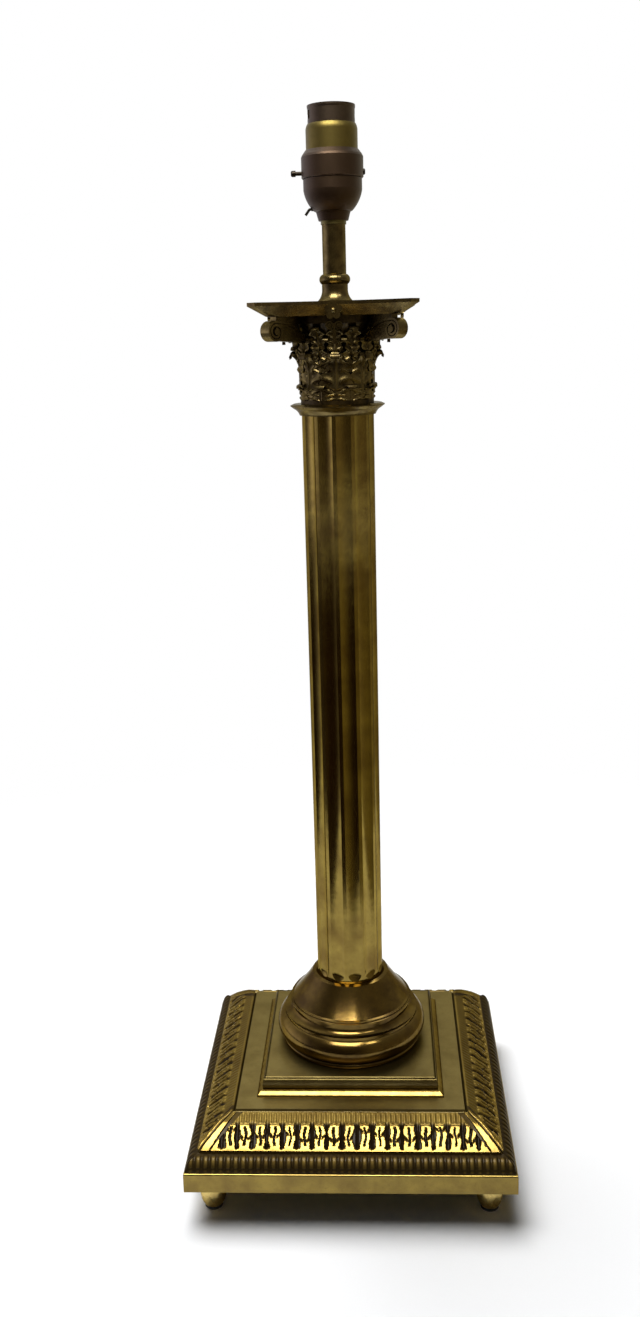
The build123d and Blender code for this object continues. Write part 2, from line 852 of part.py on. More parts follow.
lower_foot = collar_top
lower_tip = lower_foot + lower_leaf_height
with BuildPart() as lower_leaf:
    with BuildSketch(Plane.XZ):
        with BuildLine():
            leaf_line(lower_foot, lower_tip, lower_leaf_reach, lower_leaf_curl, leaf_thickness)
        trace(line_width=leaf_thickness)
    revolve(axis=Axis.Z)
    with BuildSketch(Plane.XZ):
        leaf_outline(lower_leaf_half_width, lower_foot, lower_leaf_height)
    extrude(amount=leaf_cut_depth, mode=Mode.INTERSECT)

upper_foot = neck_top + upper_leaf_root
upper_tip = upper_foot + upper_leaf_height
with BuildPart() as upper_leaf:
    with BuildSketch(Plane.XZ):
        with BuildLine():
            leaf_line(upper_foot, upper_tip, upper_leaf_reach, upper_leaf_curl, leaf_thickness)
        trace(line_width=leaf_thickness)
    revolve(axis=Axis.Z)
    with BuildSketch(Plane.XZ):
        leaf_outline(upper_leaf_half_width, upper_foot, upper_leaf_height)
    extrude(amount=leaf_cut_depth, mode=Mode.INTERSECT)

# The cast metal behind an upper leaf reaches back to the bell.
with BuildPart() as upper_back:
    with BuildSketch(Plane.XZ):
        with BuildLine():
            back_line = leaf_back_line(
                upper_foot,
                upper_tip,
                upper_leaf_reach,
                upper_leaf_curl,
                leaf_thickness,
            )
            head = back_line @ 1
            middle_level = (head.Y + waist_top) / 2
            head_line = Line(head, (bell_radius(head.Y) + seat_gap, head.Y))
            ThreePointArc(
                head_line @ 1,
                (bell_radius(middle_level) + seat_gap, middle_level),
                (leaf_inner, waist_top),
            )
            Polyline(
                (leaf_inner, waist_top),
                (leaf_inner, upper_foot),
                (leaf_inner + leaf_thickness / 2, upper_foot),
            )
        make_face()
    revolve(axis=Axis.Z)
    with BuildSketch(Plane.XZ):
        with Locations((0, upper_foot)):
            Trapezoid(
                2 * leaf_back_share * upper_leaf_half_width,
                upper_leaf_height,
                leaf_back_taper,
                align=(Align.CENTER, Align.MIN),
            )
    extrude(amount=leaf_cut_depth, mode=Mode.INTERSECT)

rib_tip = upper_tip + leaf_rib / 2
rib_reach = upper_leaf_reach + leaf_rib / 2
rib_thickness = leaf_thickness + leaf_rib
with BuildPart() as upper_rib:
    with BuildSketch(Plane.XZ):
        with BuildLine():
            leaf_line(upper_foot, rib_tip, rib_reach, upper_leaf_curl, rib_thickness)
        trace(line_width=rib_thickness)
    revolve(axis=Axis.Z)
    with BuildSketch(Plane.XZ):
        with Locations((0, upper_foot + upper_leaf_height / 2)):
            Rectangle(leaf_rib_width, upper_leaf_height + leaf_rib)
    extrude(amount=leaf_cut_depth, mode=Mode.INTERSECT)

with BuildPart() as capital_leaves:
    with BuildSketch(Plane.XY.offset(collar_top + sleeve_rise)):
        Circle(leaf_inner + sleeve_step + sleeve_wall)
        Circle(leaf_inner + sleeve_step, mode=Mode.SUBTRACT)
    extrude(amount=sleeve_height)
    with PolarLocations(0, leaf_count, start_angle=ARC / leaf_count / 2):
        add(lower_leaf.part)
    with PolarLocations(0, leaf_count):
        add(upper_leaf.part)
    with PolarLocations(0, leaf_count):
        add(upper_back.part)
    with PolarLocations(0, leaf_count):
        add(upper_rib.part)
write(capital_leaves.part, "capital_leaves")

# ================================================================ capital: corner scrolls
# Drawn in the upright plane through a corner; the spiral closes in every half turn.
volute_level = bell_top - volute_drop
volute_root_level = bell_top - volute_root_drop
crown = volute_level + volute_radius
rise = crown - volute_root_level
volute_root = bell_radius(volute_root_level) + seat_gap + volute_band / 2 + 0.1
sweep_run = volute_reach - volute_root
stalk_curve = (sweep_run**2 + rise**2) / (2 * rise)
half_way = math.atan2(sweep_run, stalk_curve - rise) / 2
with BuildPart() as volute:
    with BuildSketch(Plane.XZ):
        with BuildLine() as scroll_line:
            stalk = ThreePointArc(
                (volute_root, volute_root_level),
                (
                    volute_reach - stalk_curve * math.sin(half_way),
                    crown - stalk_curve * (1 - math.cos(half_way)),
                ),
                (volute_reach, crown),
            )
            spiral_end = stalk @ 1
            for half_turn in range(4):
                turn_radius = volute_radius - half_turn * volute_turn_step
                down = 1 if half_turn % 2 == 0 else -1
                turn = ThreePointArc(
                    spiral_end,
                    (spiral_end.X + down * turn_radius, spiral_end.Y - down * turn_radius),
                    (spiral_end.X, spiral_end.Y - down * 2 * turn_radius),
                )
                spiral_end = turn @ 1
        trace(line_width=volute_band)
    extrude(amount=volute_half_width, both=True)
    with BuildSketch(Plane.XZ):
        with Locations((volute_reach, volute_level)):
            Circle(volute_radius)
        with BuildLine():
            Line(stalk @ 0, (volute_reach, volute_level - volute_radius))
            Line((volute_reach, volute_level - volute_radius), stalk @ 1)
            add(stalk)
        make_face()
        with Locations(((volute_block_start + volute_block_end) / 2, bell_top)):
            Rectangle(
                volute_block_end - volute_block_start,
                bell_top - volute_level,
                align=(Align.CENTER, Align.MAX),
            )
    extrude(amount=volute_core_half_width, both=True)
    with BuildSketch(Plane.XZ):
        with Locations((volute_reach, volute_level - volute_turn_step / 2)):
            Circle(volute_eye_radius)
    extrude(amount=volute_eye_half_width, both=True)

with BuildPart() as corner_volutes:
    with PolarLocations(0, 4, start_angle=45.0):
        add(volute.part)
write(corner_volutes.part, "corner_volutes")

# ================================================================ capital: small face scrolls
scroll_level = bell_top - scroll_drop
scroll_face = bell_lip_radius + 0.1
with BuildPart() as face_scroll:
    with BuildSketch(Plane.XZ.offset(scroll_face)):
        with Locations((-scroll_spread, scroll_level), (scroll_spread, scroll_level)):
            Circle(scroll_radius)
        with Locations((0, scroll_level - scroll_stalk / 2)):
            Trapezoid(scroll_stalk_width, scroll_stalk, 86.0)
        with Locations((0, scroll_level)):
            Rectangle(2 * scroll_spread, scroll_radius)
    extrude(amount=scroll_thickness)
    with BuildSketch(Plane.XZ.offset(scroll_face + scroll_thickness)):
        with Locations((-scroll_spread, scroll_level), (scroll_spread, scroll_level)):
            Circle(scroll_radius - 0.5)
            Circle(scroll_eye_radius, mode=Mode.SUBTRACT)
    extrude(amount=-scroll_thickness / 3, mode=Mode.SUBTRACT)

with BuildPart() as face_scrolls:
    with PolarLocations(0, 4):
        add(face_scroll.part)
write(face_scrolls.part, "face_scrolls")

# ================================================================ abacus and its rosettes


def hollow_square(half, waist, horn):
    """Square with four hollow sides and cut horns."""
    for quarter in range(4):
        turn = Rot(0, 0, 90.0 * quarter)
        side = ThreePointArc((-half + horn, -half), (0, -waist), (half - horn, -half), mode=Mode.PRIVATE)
        cut = Line((half - horn, -half), (half, -half + horn), mode=Mode.PRIVATE)
        add(turn * side)
        add(turn * cut)


slab_bottom = abacus_top - abacus_slab
with BuildPart() as abacus:
    with BuildSketch(Plane.XY.offset(bell_top)):
        with BuildLine():
            hollow_square(abacus_half - abacus_cove, abacus_waist - abacus_waist_cove, abacus_horn * 0.55)
        make_face()
    with BuildSketch(Plane.XY.offset(slab_bottom)):
        with BuildLine():
            hollow_square(abacus_half, abacus_waist, abacus_horn)
        make_face()
    loft(ruled=True)
    with BuildSketch(Plane.XY.offset(slab_bottom)):
        with BuildLine():
            hollow_square(abacus_half, abacus_waist, abacus_horn)
        make_face()
    extrude(amount=abacus_slab)
    with BuildSketch(Plane.XY.offset(bell_top)):
        Circle(rod_hole)
    extrude(amount=abacus_height, mode=Mode.SUBTRACT)
write(abacus.part, "abacus")

rosette_level = abacus_top - rosette_radius
rosette_face = abacus_waist + 0.1
petal_circle = rosette_radius - rosette_petal_radius
with BuildPart() as rosette:
    with BuildSketch(Plane.XZ.offset(rosette_face)):
        with Locations((0, rosette_level)):
            with PolarLocations(petal_circle, rosette_petals, start_angle=90.0):
                Circle(rosette_petal_radius)
            Circle(petal_circle)
    extrude(amount=rosette_thickness)
    with Locations((0, -rosette_face - rosette_thickness, rosette_level)):
        Sphere(rosette_boss_radius)

with BuildPart() as abacus_rosettes:
    with PolarLocations(0, 4):
        add(rosette.part)
write(abacus_rosettes.part, "abacus_rosettes")

# ================================================================ stem
with BuildPart() as stem_base:
    with BuildSketch(Plane.XZ):
        with BuildLine():
            lip = Line((stem_base_radius, abacus_top), (stem_base_radius, abacus_top + stem_base_lip))
            flare = SagittaArc(
                lip @ 1,
                (stem_waist_radius, abacus_top + 0.7 * stem_base_height),
                0.7,
            )
            Polyline(
                flare @ 1,
                (stem_waist_radius, collar_bottom),
                (rod_thread, collar_bottom),
                (rod_thread, abacus_top),
                (stem_base_radius, abacus_top),
            )
        make_face()
    revolve(axis=Axis.Z)
write(stem_base.part, "stem_base")

with BuildPart() as stem_collar:
    with BuildSketch(Plane.XZ):
        with BuildLine():
            bead = ThreePointArc(
                (stem_waist_radius, collar_bottom),
                (stem_collar_radius, collar_bottom + 0.45 * stem_collar_height),
                (stem_radius, stem_bottom),
            )
            Polyline(
                bead @ 1,
                (rod_thread, stem_bottom),
                (rod_thread, collar_bottom),
                (stem_waist_radius, collar_bottom),
            )
        make_face()
    revolve(axis=Axis.Z)
write(stem_collar.part, "stem_collar")

with BuildPart() as stem_tube:
    with BuildSketch(Plane.XY.offset(stem_bottom)):
        Circle(stem_radius)
        Circle(rod_hole, mode=Mode.SUBTRACT)
    extrude(amount=stem_length)
write(stem_tube.part, "stem_tube")

# ================================================================ lampholder: entry and cap
entry_top = cap_bottom + entry_shank_length
with BuildPart() as entry_bush:
    with BuildSketch(Plane.XY.offset(stem_top)):
        Circle(entry_collar_radius)
        Circle(rod_thread, mode=Mode.SUBTRACT)
    extrude(amount=entry_collar_height)
    with BuildSketch(Plane.XY.offset(cap_bottom)):
        Circle(entry_shank_radius)
        Circle(rod_thread, mode=Mode.SUBTRACT)
    extrude(amount=entry_shank_length)
write(entry_bush.part, "entry_bush")

nose_top = cap_bottom + cap_nose_height
dome_bottom = nose_top + 0.5
dome_radius = cap_nose_radius + cap_nose_flare + cap_step
skirt_bottom = cap_top - cap_skirt
entry_hole = entry_shank_radius + slip
cap_inner = cap_radius - cap_wall
with BuildPart() as holder_cap:
    with BuildSketch(Plane.XZ):
        with BuildLine():
            nose = Polyline(
                (cap_nose_radius, cap_bottom),
                (cap_nose_radius + cap_nose_flare, nose_top),
                (dome_radius, dome_bottom),
            )
            dome = SagittaArc(nose @ 1, (cap_radius, skirt_bottom), -1.0)
            rim = Polyline(
                dome @ 1,
                (cap_radius, cap_top),
                (cap_inner, cap_top),
                (cap_inner, skirt_bottom + 1.0),
            )
            inside = SagittaArc(rim @ 1, (entry_hole + 2.0, dome_bottom + 1.0), 0.8)
            Polyline(
                inside @ 1,
                (entry_hole, nose_top - 0.6),
                (entry_hole, cap_bottom),
                (cap_nose_radius, cap_bottom),
            )
        make_face()
    revolve(axis=Axis.Z)
    with BuildSketch(Plane.YZ.offset(-entry_shank_radius)):
        with Locations((0, lock_level)):
            Circle(lock_radius + lock_hole_gap)
    extrude(amount=-cap_radius, mode=Mode.SUBTRACT)
write(holder_cap.part, "holder_cap")

# Cranked locking screw: it bears on the entry bush and its bent tail is the finger grip.
lock_tip = entry_shank_radius + lock_tip_gap
with BuildPart() as locking_screw:
    with BuildSketch(Plane.YZ.offset(-lock_tip)):
        with Locations((0, lock_level)):
            Circle(lock_radius)
    extrude(amount=-(lock_reach - lock_tip))
    with BuildLine():
        tail = FilletPolyline(
            (-lock_reach + 1.0, 0, lock_level),
            (-lock_reach - lock_tail_run / 3, 0, lock_level),
            (-lock_reach - lock_tail_run, 0, lock_level - lock_tail_drop),
            radius=lock_bend_radius,
        )
    with BuildSketch(Plane(origin=tail @ 0, z_dir=tail % 0)):
        Circle(lock_tail_radius)
    sweep()
write(locking_screw.part, "locking_screw")

# ================================================================ lampholder: body
spigot_radius = cap_inner - slip
spigot_bore = spigot_radius - body_spigot_wall
barrel_seat_radius = spigot_bore + body_ledge_width
bar_hole_radius = bar_end_radius + bar_hole_gap
with BuildPart() as holder_body:
    with BuildSketch(Plane.XZ):
        with BuildLine():
            Polyline(
                (spigot_radius, body_bottom - body_spigot_length),
                (spigot_radius, body_bottom),
                (body_radius - 0.4, body_bottom),
                (body_radius, body_bottom + 0.5),
                (body_radius, body_top - body_shoulder),
                (body_radius - 0.6, body_top - body_shoulder + 1.2),
                (body_radius - body_shoulder_run, body_top),
                (barrel_seat_radius, body_top),
                (barrel_seat_radius, ledge_level),
                (spigot_bore, ledge_level),
                (spigot_bore, body_bottom - body_spigot_length),
                close=True,
            )
        make_face()
    revolve(axis=Axis.Z)
    with BuildSketch(Plane.YZ):
        with Locations((0, bar_level)):
            Circle(bar_hole_radius)
    extrude(amount=body_radius + 1, both=True, mode=Mode.SUBTRACT)
write(holder_body.part, "holder_body")

# ================================================================ lampholder: insulator
plunger_places = [(0, -plunger_spread), (0, plunger_spread)]
terminal_radius = plunger_flange_radius + slip - 0.05
plunger_hole = plunger_flange_radius + slip
with BuildPart() as contact_block:
    with BuildSketch(Plane.XY.offset(ledge_level)):
        Circle(barrel_seat_radius - 0.35)
    extrude(amount=block_flange_thickness)
    with BuildSketch(Plane.XY.offset(barrel_bottom)):
        Circle(block_boss_radius)
    extrude(amount=block_height - block_flange_thickness)
    with BuildSketch(Plane.XY.offset(ledge_level)):
        with Locations(*plunger_places):
            Circle(plunger_hole)
    extrude(amount=block_height - plunger_lid, mode=Mode.SUBTRACT)
    with BuildSketch(Plane.XY.offset(block_top)):
        with Locations(*plunger_places):
            Circle(plunger_tip_radius + plunger_tip_gap)
    extrude(amount=-plunger_lid, mode=Mode.SUBTRACT)
    with BuildSketch(Plane.XZ):
        with Locations((0, ledge_level + block_flange_thickness / 2)):
            Circle(screw_radius + thread_gap)
    extrude(amount=barrel_seat_radius, both=True, mode=Mode.SUBTRACT)
write(contact_block.part, "contact_block")

terminal_bottom = ledge_level + terminal_recess
with BuildPart() as contact_terminals:
    with BuildSketch(Plane.XY.offset(terminal_bottom)):
        with Locations(*plunger_places):
            Circle(terminal_radius)
    extrude(amount=terminal_height)
write(contact_terminals.part, "contact_terminals")

screw_head = barrel_seat_radius - 0.35 - screw_sink
screw_foot = plunger_spread + terminal_radius + thread_gap
with BuildPart() as terminal_screw:
    with BuildSketch(Plane.XZ.offset(screw_foot)):
        with Locations((0, ledge_level + block_flange_thickness / 2)):
            Circle(screw_radius)
    extrude(amount=screw_head - screw_foot)

with BuildPart() as terminal_screws:
    with PolarLocations(0, 2):
        add(terminal_screw.part)
write(terminal_screws.part, "terminal_screws")

# ================================================================ lampholder: sprung plungers
flange_top = block_top - plunger_lid - 0.1
flange_bottom = flange_top - plunger_flange_height
tip_top = block_top + plunger_rise
spring_bottom = terminal_bottom + terminal_height + 0.05
spring_length = flange_bottom - spring_bottom - 0.05
for side, (plunger_x, plunger_y) in zip(("front", "rear"), plunger_places):
    with BuildPart() as plunger:
        with BuildSketch(Plane.XZ):
            with BuildLine():
                tail_end = flange_bottom - plunger_tail_length
                shank = Polyline(
                    (0, tail_end),
                    (plunger_tail_radius, tail_end),
                    (plunger_tail_radius, flange_bottom),
                    (plunger_flange_radius, flange_bottom),
                    (plunger_flange_radius, flange_top),
                    (plunger_tip_radius, flange_top),
                    (plunger_tip_radius, tip_top - plunger_nose),
                )
                TangentArc((0, tip_top), shank @ 1, tangent=(1, 0))
                Line((0, tip_top), (0, tail_end))
            make_face()
        revolve(axis=Axis.Z)
    write(plunger.part.moved(Location((plunger_x, plunger_y, 0))), f"plunger_{side}")

    coil_height = spring_length - 2 * spring_wire_radius
    coil_bottom = spring_bottom + spring_wire_radius
    with BuildPart() as spring:
        with BuildLine():
            coil = Helix(
                pitch=coil_height / spring_turns,
                height=coil_height,
                radius=spring_radius,
                center=(plunger_x, plunger_y, coil_bottom),
            )
        with BuildSketch(Plane(origin=coil @ 0, z_dir=coil % 0)):
            RegularPolygon(spring_wire_radius, 6)
        sweep(is_frenet=True)
    write(spring.part, f"plunger_spring_{side}")

coil_gap = (spring_length - 2 * spring_wire_radius) / spring_turns - 2 * spring_wire_radius
print(f"least gap between the turns of a plunger spring: {coil_gap:.2f} mm")

# ================================================================ lampholder: bayonet barrel
socket_bottom = barrel_top - socket_depth_clear
slot_floor = barrel_top - slot_depth
slot_shift = math.radians(slot_turn) * barrel_radius
block_room = block_boss_radius + slip

# J-shaped slot for a pin of the lamp cap: down, round and up into a notch
with BuildPart() as pin_slot:
    with BuildSketch(Plane.YZ.offset(socket_radius / 2)):
        with Locations((0, slot_floor + slot_depth / 2 + 1)):
            Rectangle(slot_width, slot_depth + 2)
        with Locations((slot_shift / 2, slot_floor + slot_width / 2)):
            Rectangle(slot_shift + slot_width, slot_width)
        with Locations((slot_shift, slot_floor + (slot_width + slot_notch) / 2)):
            Rectangle(slot_width, slot_width + slot_notch)
    extrude(amount=barrel_radius)

with BuildPart() as bayonet_barrel:
    with BuildSketch(Plane.XZ):
        with BuildLine():
            Polyline(
                (barrel_radius, barrel_bottom),
                (barrel_radius, barrel_top - barrel_rim_height),
                (barrel_rim_radius, barrel_top - barrel_rim_height / 2),
                (barrel_rim_radius, barrel_top),
                (socket_radius, barrel_top),
                (socket_radius, socket_bottom),
                (block_room, socket_bottom),
                (block_room, barrel_bottom),
                close=True,
            )
        make_face()
    revolve(axis=Axis.Z)
    with PolarLocations(0, 2):
        add(pin_slot.part, mode=Mode.SUBTRACT)
write(bayonet_barrel.part, "bayonet_barrel")

with BuildPart() as skirt_ring:
    with BuildSketch(Plane.XZ):
        with BuildLine():
            skirt_wall = Polyline(
                (barrel_radius + slip, body_top),
                (skirt_radius, body_top),
                (skirt_radius, body_top + skirt_straight),
            )
            shoulder = SagittaArc(skirt_wall @ 1, (skirt_top_radius, body_top + skirt_height), -0.3)
            Polyline(
                shoulder @ 1,
                (barrel_radius + slip, body_top + skirt_height),
                (barrel_radius + slip, body_top),
            )
        make_face()
    revolve(axis=Axis.Z)
write(skirt_ring.part, "skirt_ring")

# ================================================================ lampholder: push bar switch
# At rest the bar is pushed to the left; its travel brings it as far out on the right.
bar_left = -(bar_length + bar_travel) / 2
bar_right = bar_left + bar_length
bar_middle = (bar_left + bar_right) / 2
with BuildPart() as push_bar:
    with BuildSketch(Plane.YZ.offset(bar_left + 0.5)):
        with Locations((0, bar_level)):
            Circle(bar_radius)
    extrude(amount=bar_length - 1.0)
    with BuildSketch(Plane.YZ.offset(bar_left)):
        with Locations((0, bar_level)):
            Circle(bar_end_radius)
    extrude(amount=bar_end_length)
    with BuildSketch(Plane.YZ.offset(bar_right)):
        with Locations((0, bar_level)):
            Circle(bar_end_radius)
    extrude(amount=-bar_end_length)
    round_ends = push_bar.edges().filter_by(GeomType.CIRCLE).group_by(Axis.X)
    fillet([round_ends[0].sort_by(SortBy.RADIUS)[-1], round_ends[-1].sort_by(SortBy.RADIUS)[-1]], 0.9)
    with Locations((bar_middle, 0, bar_level)):
        Box(carriage_length, 2 * carriage_half_width, 2 * carriage_half_height)
write(push_bar.part, "push_bar")

strip_place = carriage_half_width + contact_strip_gap + contact_strip_thickness / 2
with BuildPart() as switch_contacts:
    with BuildSketch(Plane.XY.offset(ledge_level)):
        with Locations((0, -strip_place), (0, strip_place)):
            Rectangle(contact_strip_length, contact_strip_thickness)
    extrude(amount=-contact_strip_height)
write(switch_contacts.part, "switch_contacts")
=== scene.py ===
"""Dresses the column table lamp: cast leaf borders, fluted shaft, Corinthian capital,
bayonet lampholder, their finishes, and the studio that the lamp stands in."""

import math

import bpy
from mathutils import Matrix, Vector


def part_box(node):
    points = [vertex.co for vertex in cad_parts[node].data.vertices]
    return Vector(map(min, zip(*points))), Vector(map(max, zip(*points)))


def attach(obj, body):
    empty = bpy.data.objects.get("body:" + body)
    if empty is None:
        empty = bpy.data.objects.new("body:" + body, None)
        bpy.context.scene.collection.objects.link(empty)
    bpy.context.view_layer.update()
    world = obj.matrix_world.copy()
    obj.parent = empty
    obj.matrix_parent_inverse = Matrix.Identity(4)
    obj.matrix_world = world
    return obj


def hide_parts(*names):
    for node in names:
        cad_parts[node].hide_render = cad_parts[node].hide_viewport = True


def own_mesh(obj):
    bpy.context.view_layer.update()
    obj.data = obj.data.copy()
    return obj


bl_info = {
    "name": "Column Table Lamp",
    "version": (1, 0, 0),
    "blender": (4, 5, 0),
    "location": "3D View > Sidebar > Lamp",
    "description": "Builds the dressed pieces of a brass column lamp on its fixed frame",
    "category": "Add Mesh",
}

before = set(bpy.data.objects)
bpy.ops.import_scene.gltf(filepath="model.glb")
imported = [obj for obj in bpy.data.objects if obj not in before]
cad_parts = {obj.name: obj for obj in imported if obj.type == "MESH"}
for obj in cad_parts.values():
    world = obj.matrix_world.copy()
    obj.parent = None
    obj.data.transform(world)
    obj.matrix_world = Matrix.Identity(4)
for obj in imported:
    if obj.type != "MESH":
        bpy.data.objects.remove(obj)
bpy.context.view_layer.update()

MM = 0.001  # the frame is in metres, the sizes here are in millimetres
FULL_TURN = 2.0 * math.pi


# ------------------------------------------------------------------ small helpers
def linear(code):
    """The linear red, green and blue of an sRGB hex colour."""
    parts = [int(code[i : i + 2], 16) / 255.0 for i in (1, 3, 5)]
    return tuple(c / 12.92 if c <= 0.04045 else ((c + 0.055) / 1.055) ** 2.4 for c in parts)


def add_node(tree, kind, inputs=None, **settings):
    """Add a node with its settings; an input is a value or another node's output."""
    node = tree.nodes.new(kind)
    for name, value in settings.items():
        setattr(node, name, value)
    for name, value in (inputs or {}).items():
        socket = node.inputs[name]
        if isinstance(value, bpy.types.NodeSocket):
            tree.links.new(value, socket)
        elif socket.type == "RGBA" and len(value) == 3:
            socket.default_value = (*value, 1.0)
        else:
            socket.default_value = value
    return node


def new_material(name):
    """An empty node material, with its tree and its output."""
    material = bpy.data.materials.new(name)
    material.use_nodes = True
    tree = material.node_tree
    tree.nodes.clear()
    return material, tree, add_node(tree, "ShaderNodeOutputMaterial")


def new_finish(name):
    """Tree and output of a finish, and object coordinates in millimetres."""
    _, tree, output = new_material(name)
    place = add_node(tree, "ShaderNodeTexCoord")
    inputs = {0: place.outputs["Object"], "Scale": 1.0 / MM}
    scaled = add_node(tree, "ShaderNodeVectorMath", inputs, operation="SCALE")
    return tree, output, scaled.outputs["Vector"]


def noise(tree, place, size, detail, **more):
    """Noise whose largest grains have about this size."""
    inputs = {"Vector": place, "Scale": 1.0 / size, "Detail": detail, **more}
    return add_node(tree, "ShaderNodeTexNoise", inputs).outputs["Fac"]


def ramp(tree, value, low, high, start=0.0, end=1.0):
    """Maps low to high onto start to end, and holds the ends beyond them."""
    inputs = {"Value": value, "From Min": low, "From Max": high, "To Min": start, "To Max": end}
    return add_node(tree, "ShaderNodeMapRange", inputs).outputs[0]


def blend(tree, share, first, second):
    """Colour that goes from the first to the second as the share grows."""
    inputs = {0: share, 6: first, 7: second}
    return add_node(tree, "ShaderNodeMix", inputs, data_type="RGBA").outputs[2]


def larger(tree, first, second):
    """The larger of two values."""
    return add_node(tree, "ShaderNodeMath", {0: first, 1: second}, operation="MAXIMUM").outputs[0]


def bump(tree, height, strength, depth, normal=None):
    """Normal of a fine relief, its depth in millimetres."""
    inputs = {"Height": height, "Strength": strength, "Distance": depth * MM}
    if normal is not None:
        inputs["Normal"] = normal
    return add_node(tree, "ShaderNodeBump", inputs).outputs["Normal"]


def dress(name, finish):
    """Give a CAD node its finish."""
    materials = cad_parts[name].data.materials
    materials.clear()
    materials.append(bpy.data.materials[finish])


def mount_piece(name, points, faces, finish, body="stand", recess=None, crease=40.0):
    """Make a mesh piece from points in millimetres and let it ride on a body."""
    mesh = bpy.data.meshes.new(name)
    mesh.from_pydata([(x * MM, y * MM, z * MM) for x, y, z in points], [], faces)
    mesh.validate()
    mesh.shade_smooth()
    mesh.set_sharp_from_angle(angle=math.radians(crease))
    if recess is not None:
        hollows = mesh.attributes.new("recess", "FLOAT", "POINT")
        hollows.data.foreach_set("value", recess)
    piece = bpy.data.objects.new(name, mesh)
    bpy.context.scene.collection.objects.link(piece)
    piece.data.materials.append(bpy.data.materials[finish])
    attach(piece, body)
    return piece


def grid_faces(columns, rows):
    """Quads of a grid whose points run column by column."""
    return [
        (c * rows + r, (c + 1) * rows + r, (c + 1) * rows + r + 1, c * rows + r + 1)
        for c in range(columns - 1)
        for r in range(rows - 1)
    ]


def smooth_step(low, high, value):
    """Rises smoothly from 0 at low to 1 at high."""
    share = min(max((value - low) / (high - low), 0.0), 1.0)
    return share * share * (3.0 - 2.0 * share)


# ------------------------------------------------------------------ sizes and colours
class LampFinishColours(bpy.types.PropertyGroup):
    """Colours of the finishes."""

    polished: bpy.props.FloatVectorProperty(
        name="Polished brass",
        description="Old brass where hands and cloths keep it clean",
        default=linear("#8d7638"),
        subtype="COLOR",
        size=3,
    )
    lacquered: bpy.props.FloatVectorProperty(
        name="Darkened lacquer",
        description="Old brass under yellowed lacquer",
        default=linear("#6f5a2a"),
        subtype="COLOR",
        size=3,
    )
    tarnished: bpy.props.FloatVectorProperty(
        name="Tarnished brass",
        description="Brass that no cloth reaches",
        default=linear("#76673f"),
        subtype="COLOR",
        size=3,
    )
    tarnish_deep: bpy.props.FloatVectorProperty(
        name="Deep tarnish",
        description="The darkest clouds of the tarnish",
        default=linear("#4a3d24"),
        subtype="COLOR",
        size=3,
    )
    # colour of dried polish and dirt, which also paints the shade in corners, gaps and hollows
    dirt_and_shade: bpy.props.FloatVectorProperty(
        name="Dirt in the hollows",
        description="Dried polish and dirt in the bottom of the carving",
        default=linear("#1d150a"),
        subtype="COLOR",
        size=3,
    )
    holder_brass: bpy.props.FloatVectorProperty(
        name="Holder brass",
        description="Dull brass of the lampholder",
        default=linear("#7d7346"),
        subtype="COLOR",
        size=3,
    )
    resin: bpy.props.FloatVectorProperty(
        name="Moulded resin",
        description="Brown phenolic moulding of the lampholder",
        default=linear("#2e1b0d"),
        subtype="COLOR",
        size=3,
    )


class LampBorderSizes(bpy.types.PropertyGroup):
    """Carving of the leaf border on the base."""

    pitch: bpy.props.FloatProperty(
        name="Leaf pitch",
        description="From one upright leaf to the next, in millimetres",
        default=9.1,
        min=4.0,
    )
    relief: bpy.props.FloatProperty(
        name="Leaf relief",
        description="Height of the leaves above the slope, in millimetres",
        default=1.6,
        min=0.2,
    )
    step: bpy.props.FloatProperty(
        name="Mesh step",
        description="Spacing of the carved mesh's points, in millimetres",
        default=0.38,
        min=0.1,
    )


class LampStageSizes(bpy.types.PropertyGroup):
    """The studio and the camera."""

    camera_place: bpy.props.FloatVectorProperty(
        name="Camera place",
        description="Eye point, in the lamp's own frame",
        default=(0.02293, -0.73399, 0.51577),
        subtype="TRANSLATION",
        unit="LENGTH",
        size=3,
    )
    yaw: bpy.props.FloatProperty(
        name="Yaw",
        description="How far the camera turns to the right",
        default=-0.05067,
        subtype="ANGLE",
    )
    pitch: bpy.props.FloatProperty(
        name="Pitch",
        description="How far the camera looks down",
        default=0.25455,
        subtype="ANGLE",
    )
    roll: bpy.props.FloatProperty(
        name="Roll",
        description="How far the camera leans",
        default=-0.0273,
        subtype="ANGLE",
    )
    lens: bpy.props.FloatProperty(
        name="Lens",
        description="Focal length for a frame whose long side is 36 mm",
        default=33.79,
        unit="CAMERA",
    )
    sheet_radius: bpy.props.FloatProperty(
        name="White sheet",
        description="How far the white sheet reaches before the dark table shows in the brass",
        default=0.61,
        unit="LENGTH",
    )


# ------------------------------------------------------------------ finishes
GLOSS_TINT = (0.5, 0.46, 0.38, 1.0)  # darkens and warms the brass where it is seen at a slant
LACQUER_GLEAM = 0.12  # weight of the lacquer's own gloss
LACQUER_ROUGH = 0.12
SPOT_SIZE = 1.6
WAVE_SIZE = 7.0
SHADE_AND_DIRT_REACH = 4.0  # how far the painted corner shade and the dirt reach out of a corner
DIRT_ROUGH = 0.6


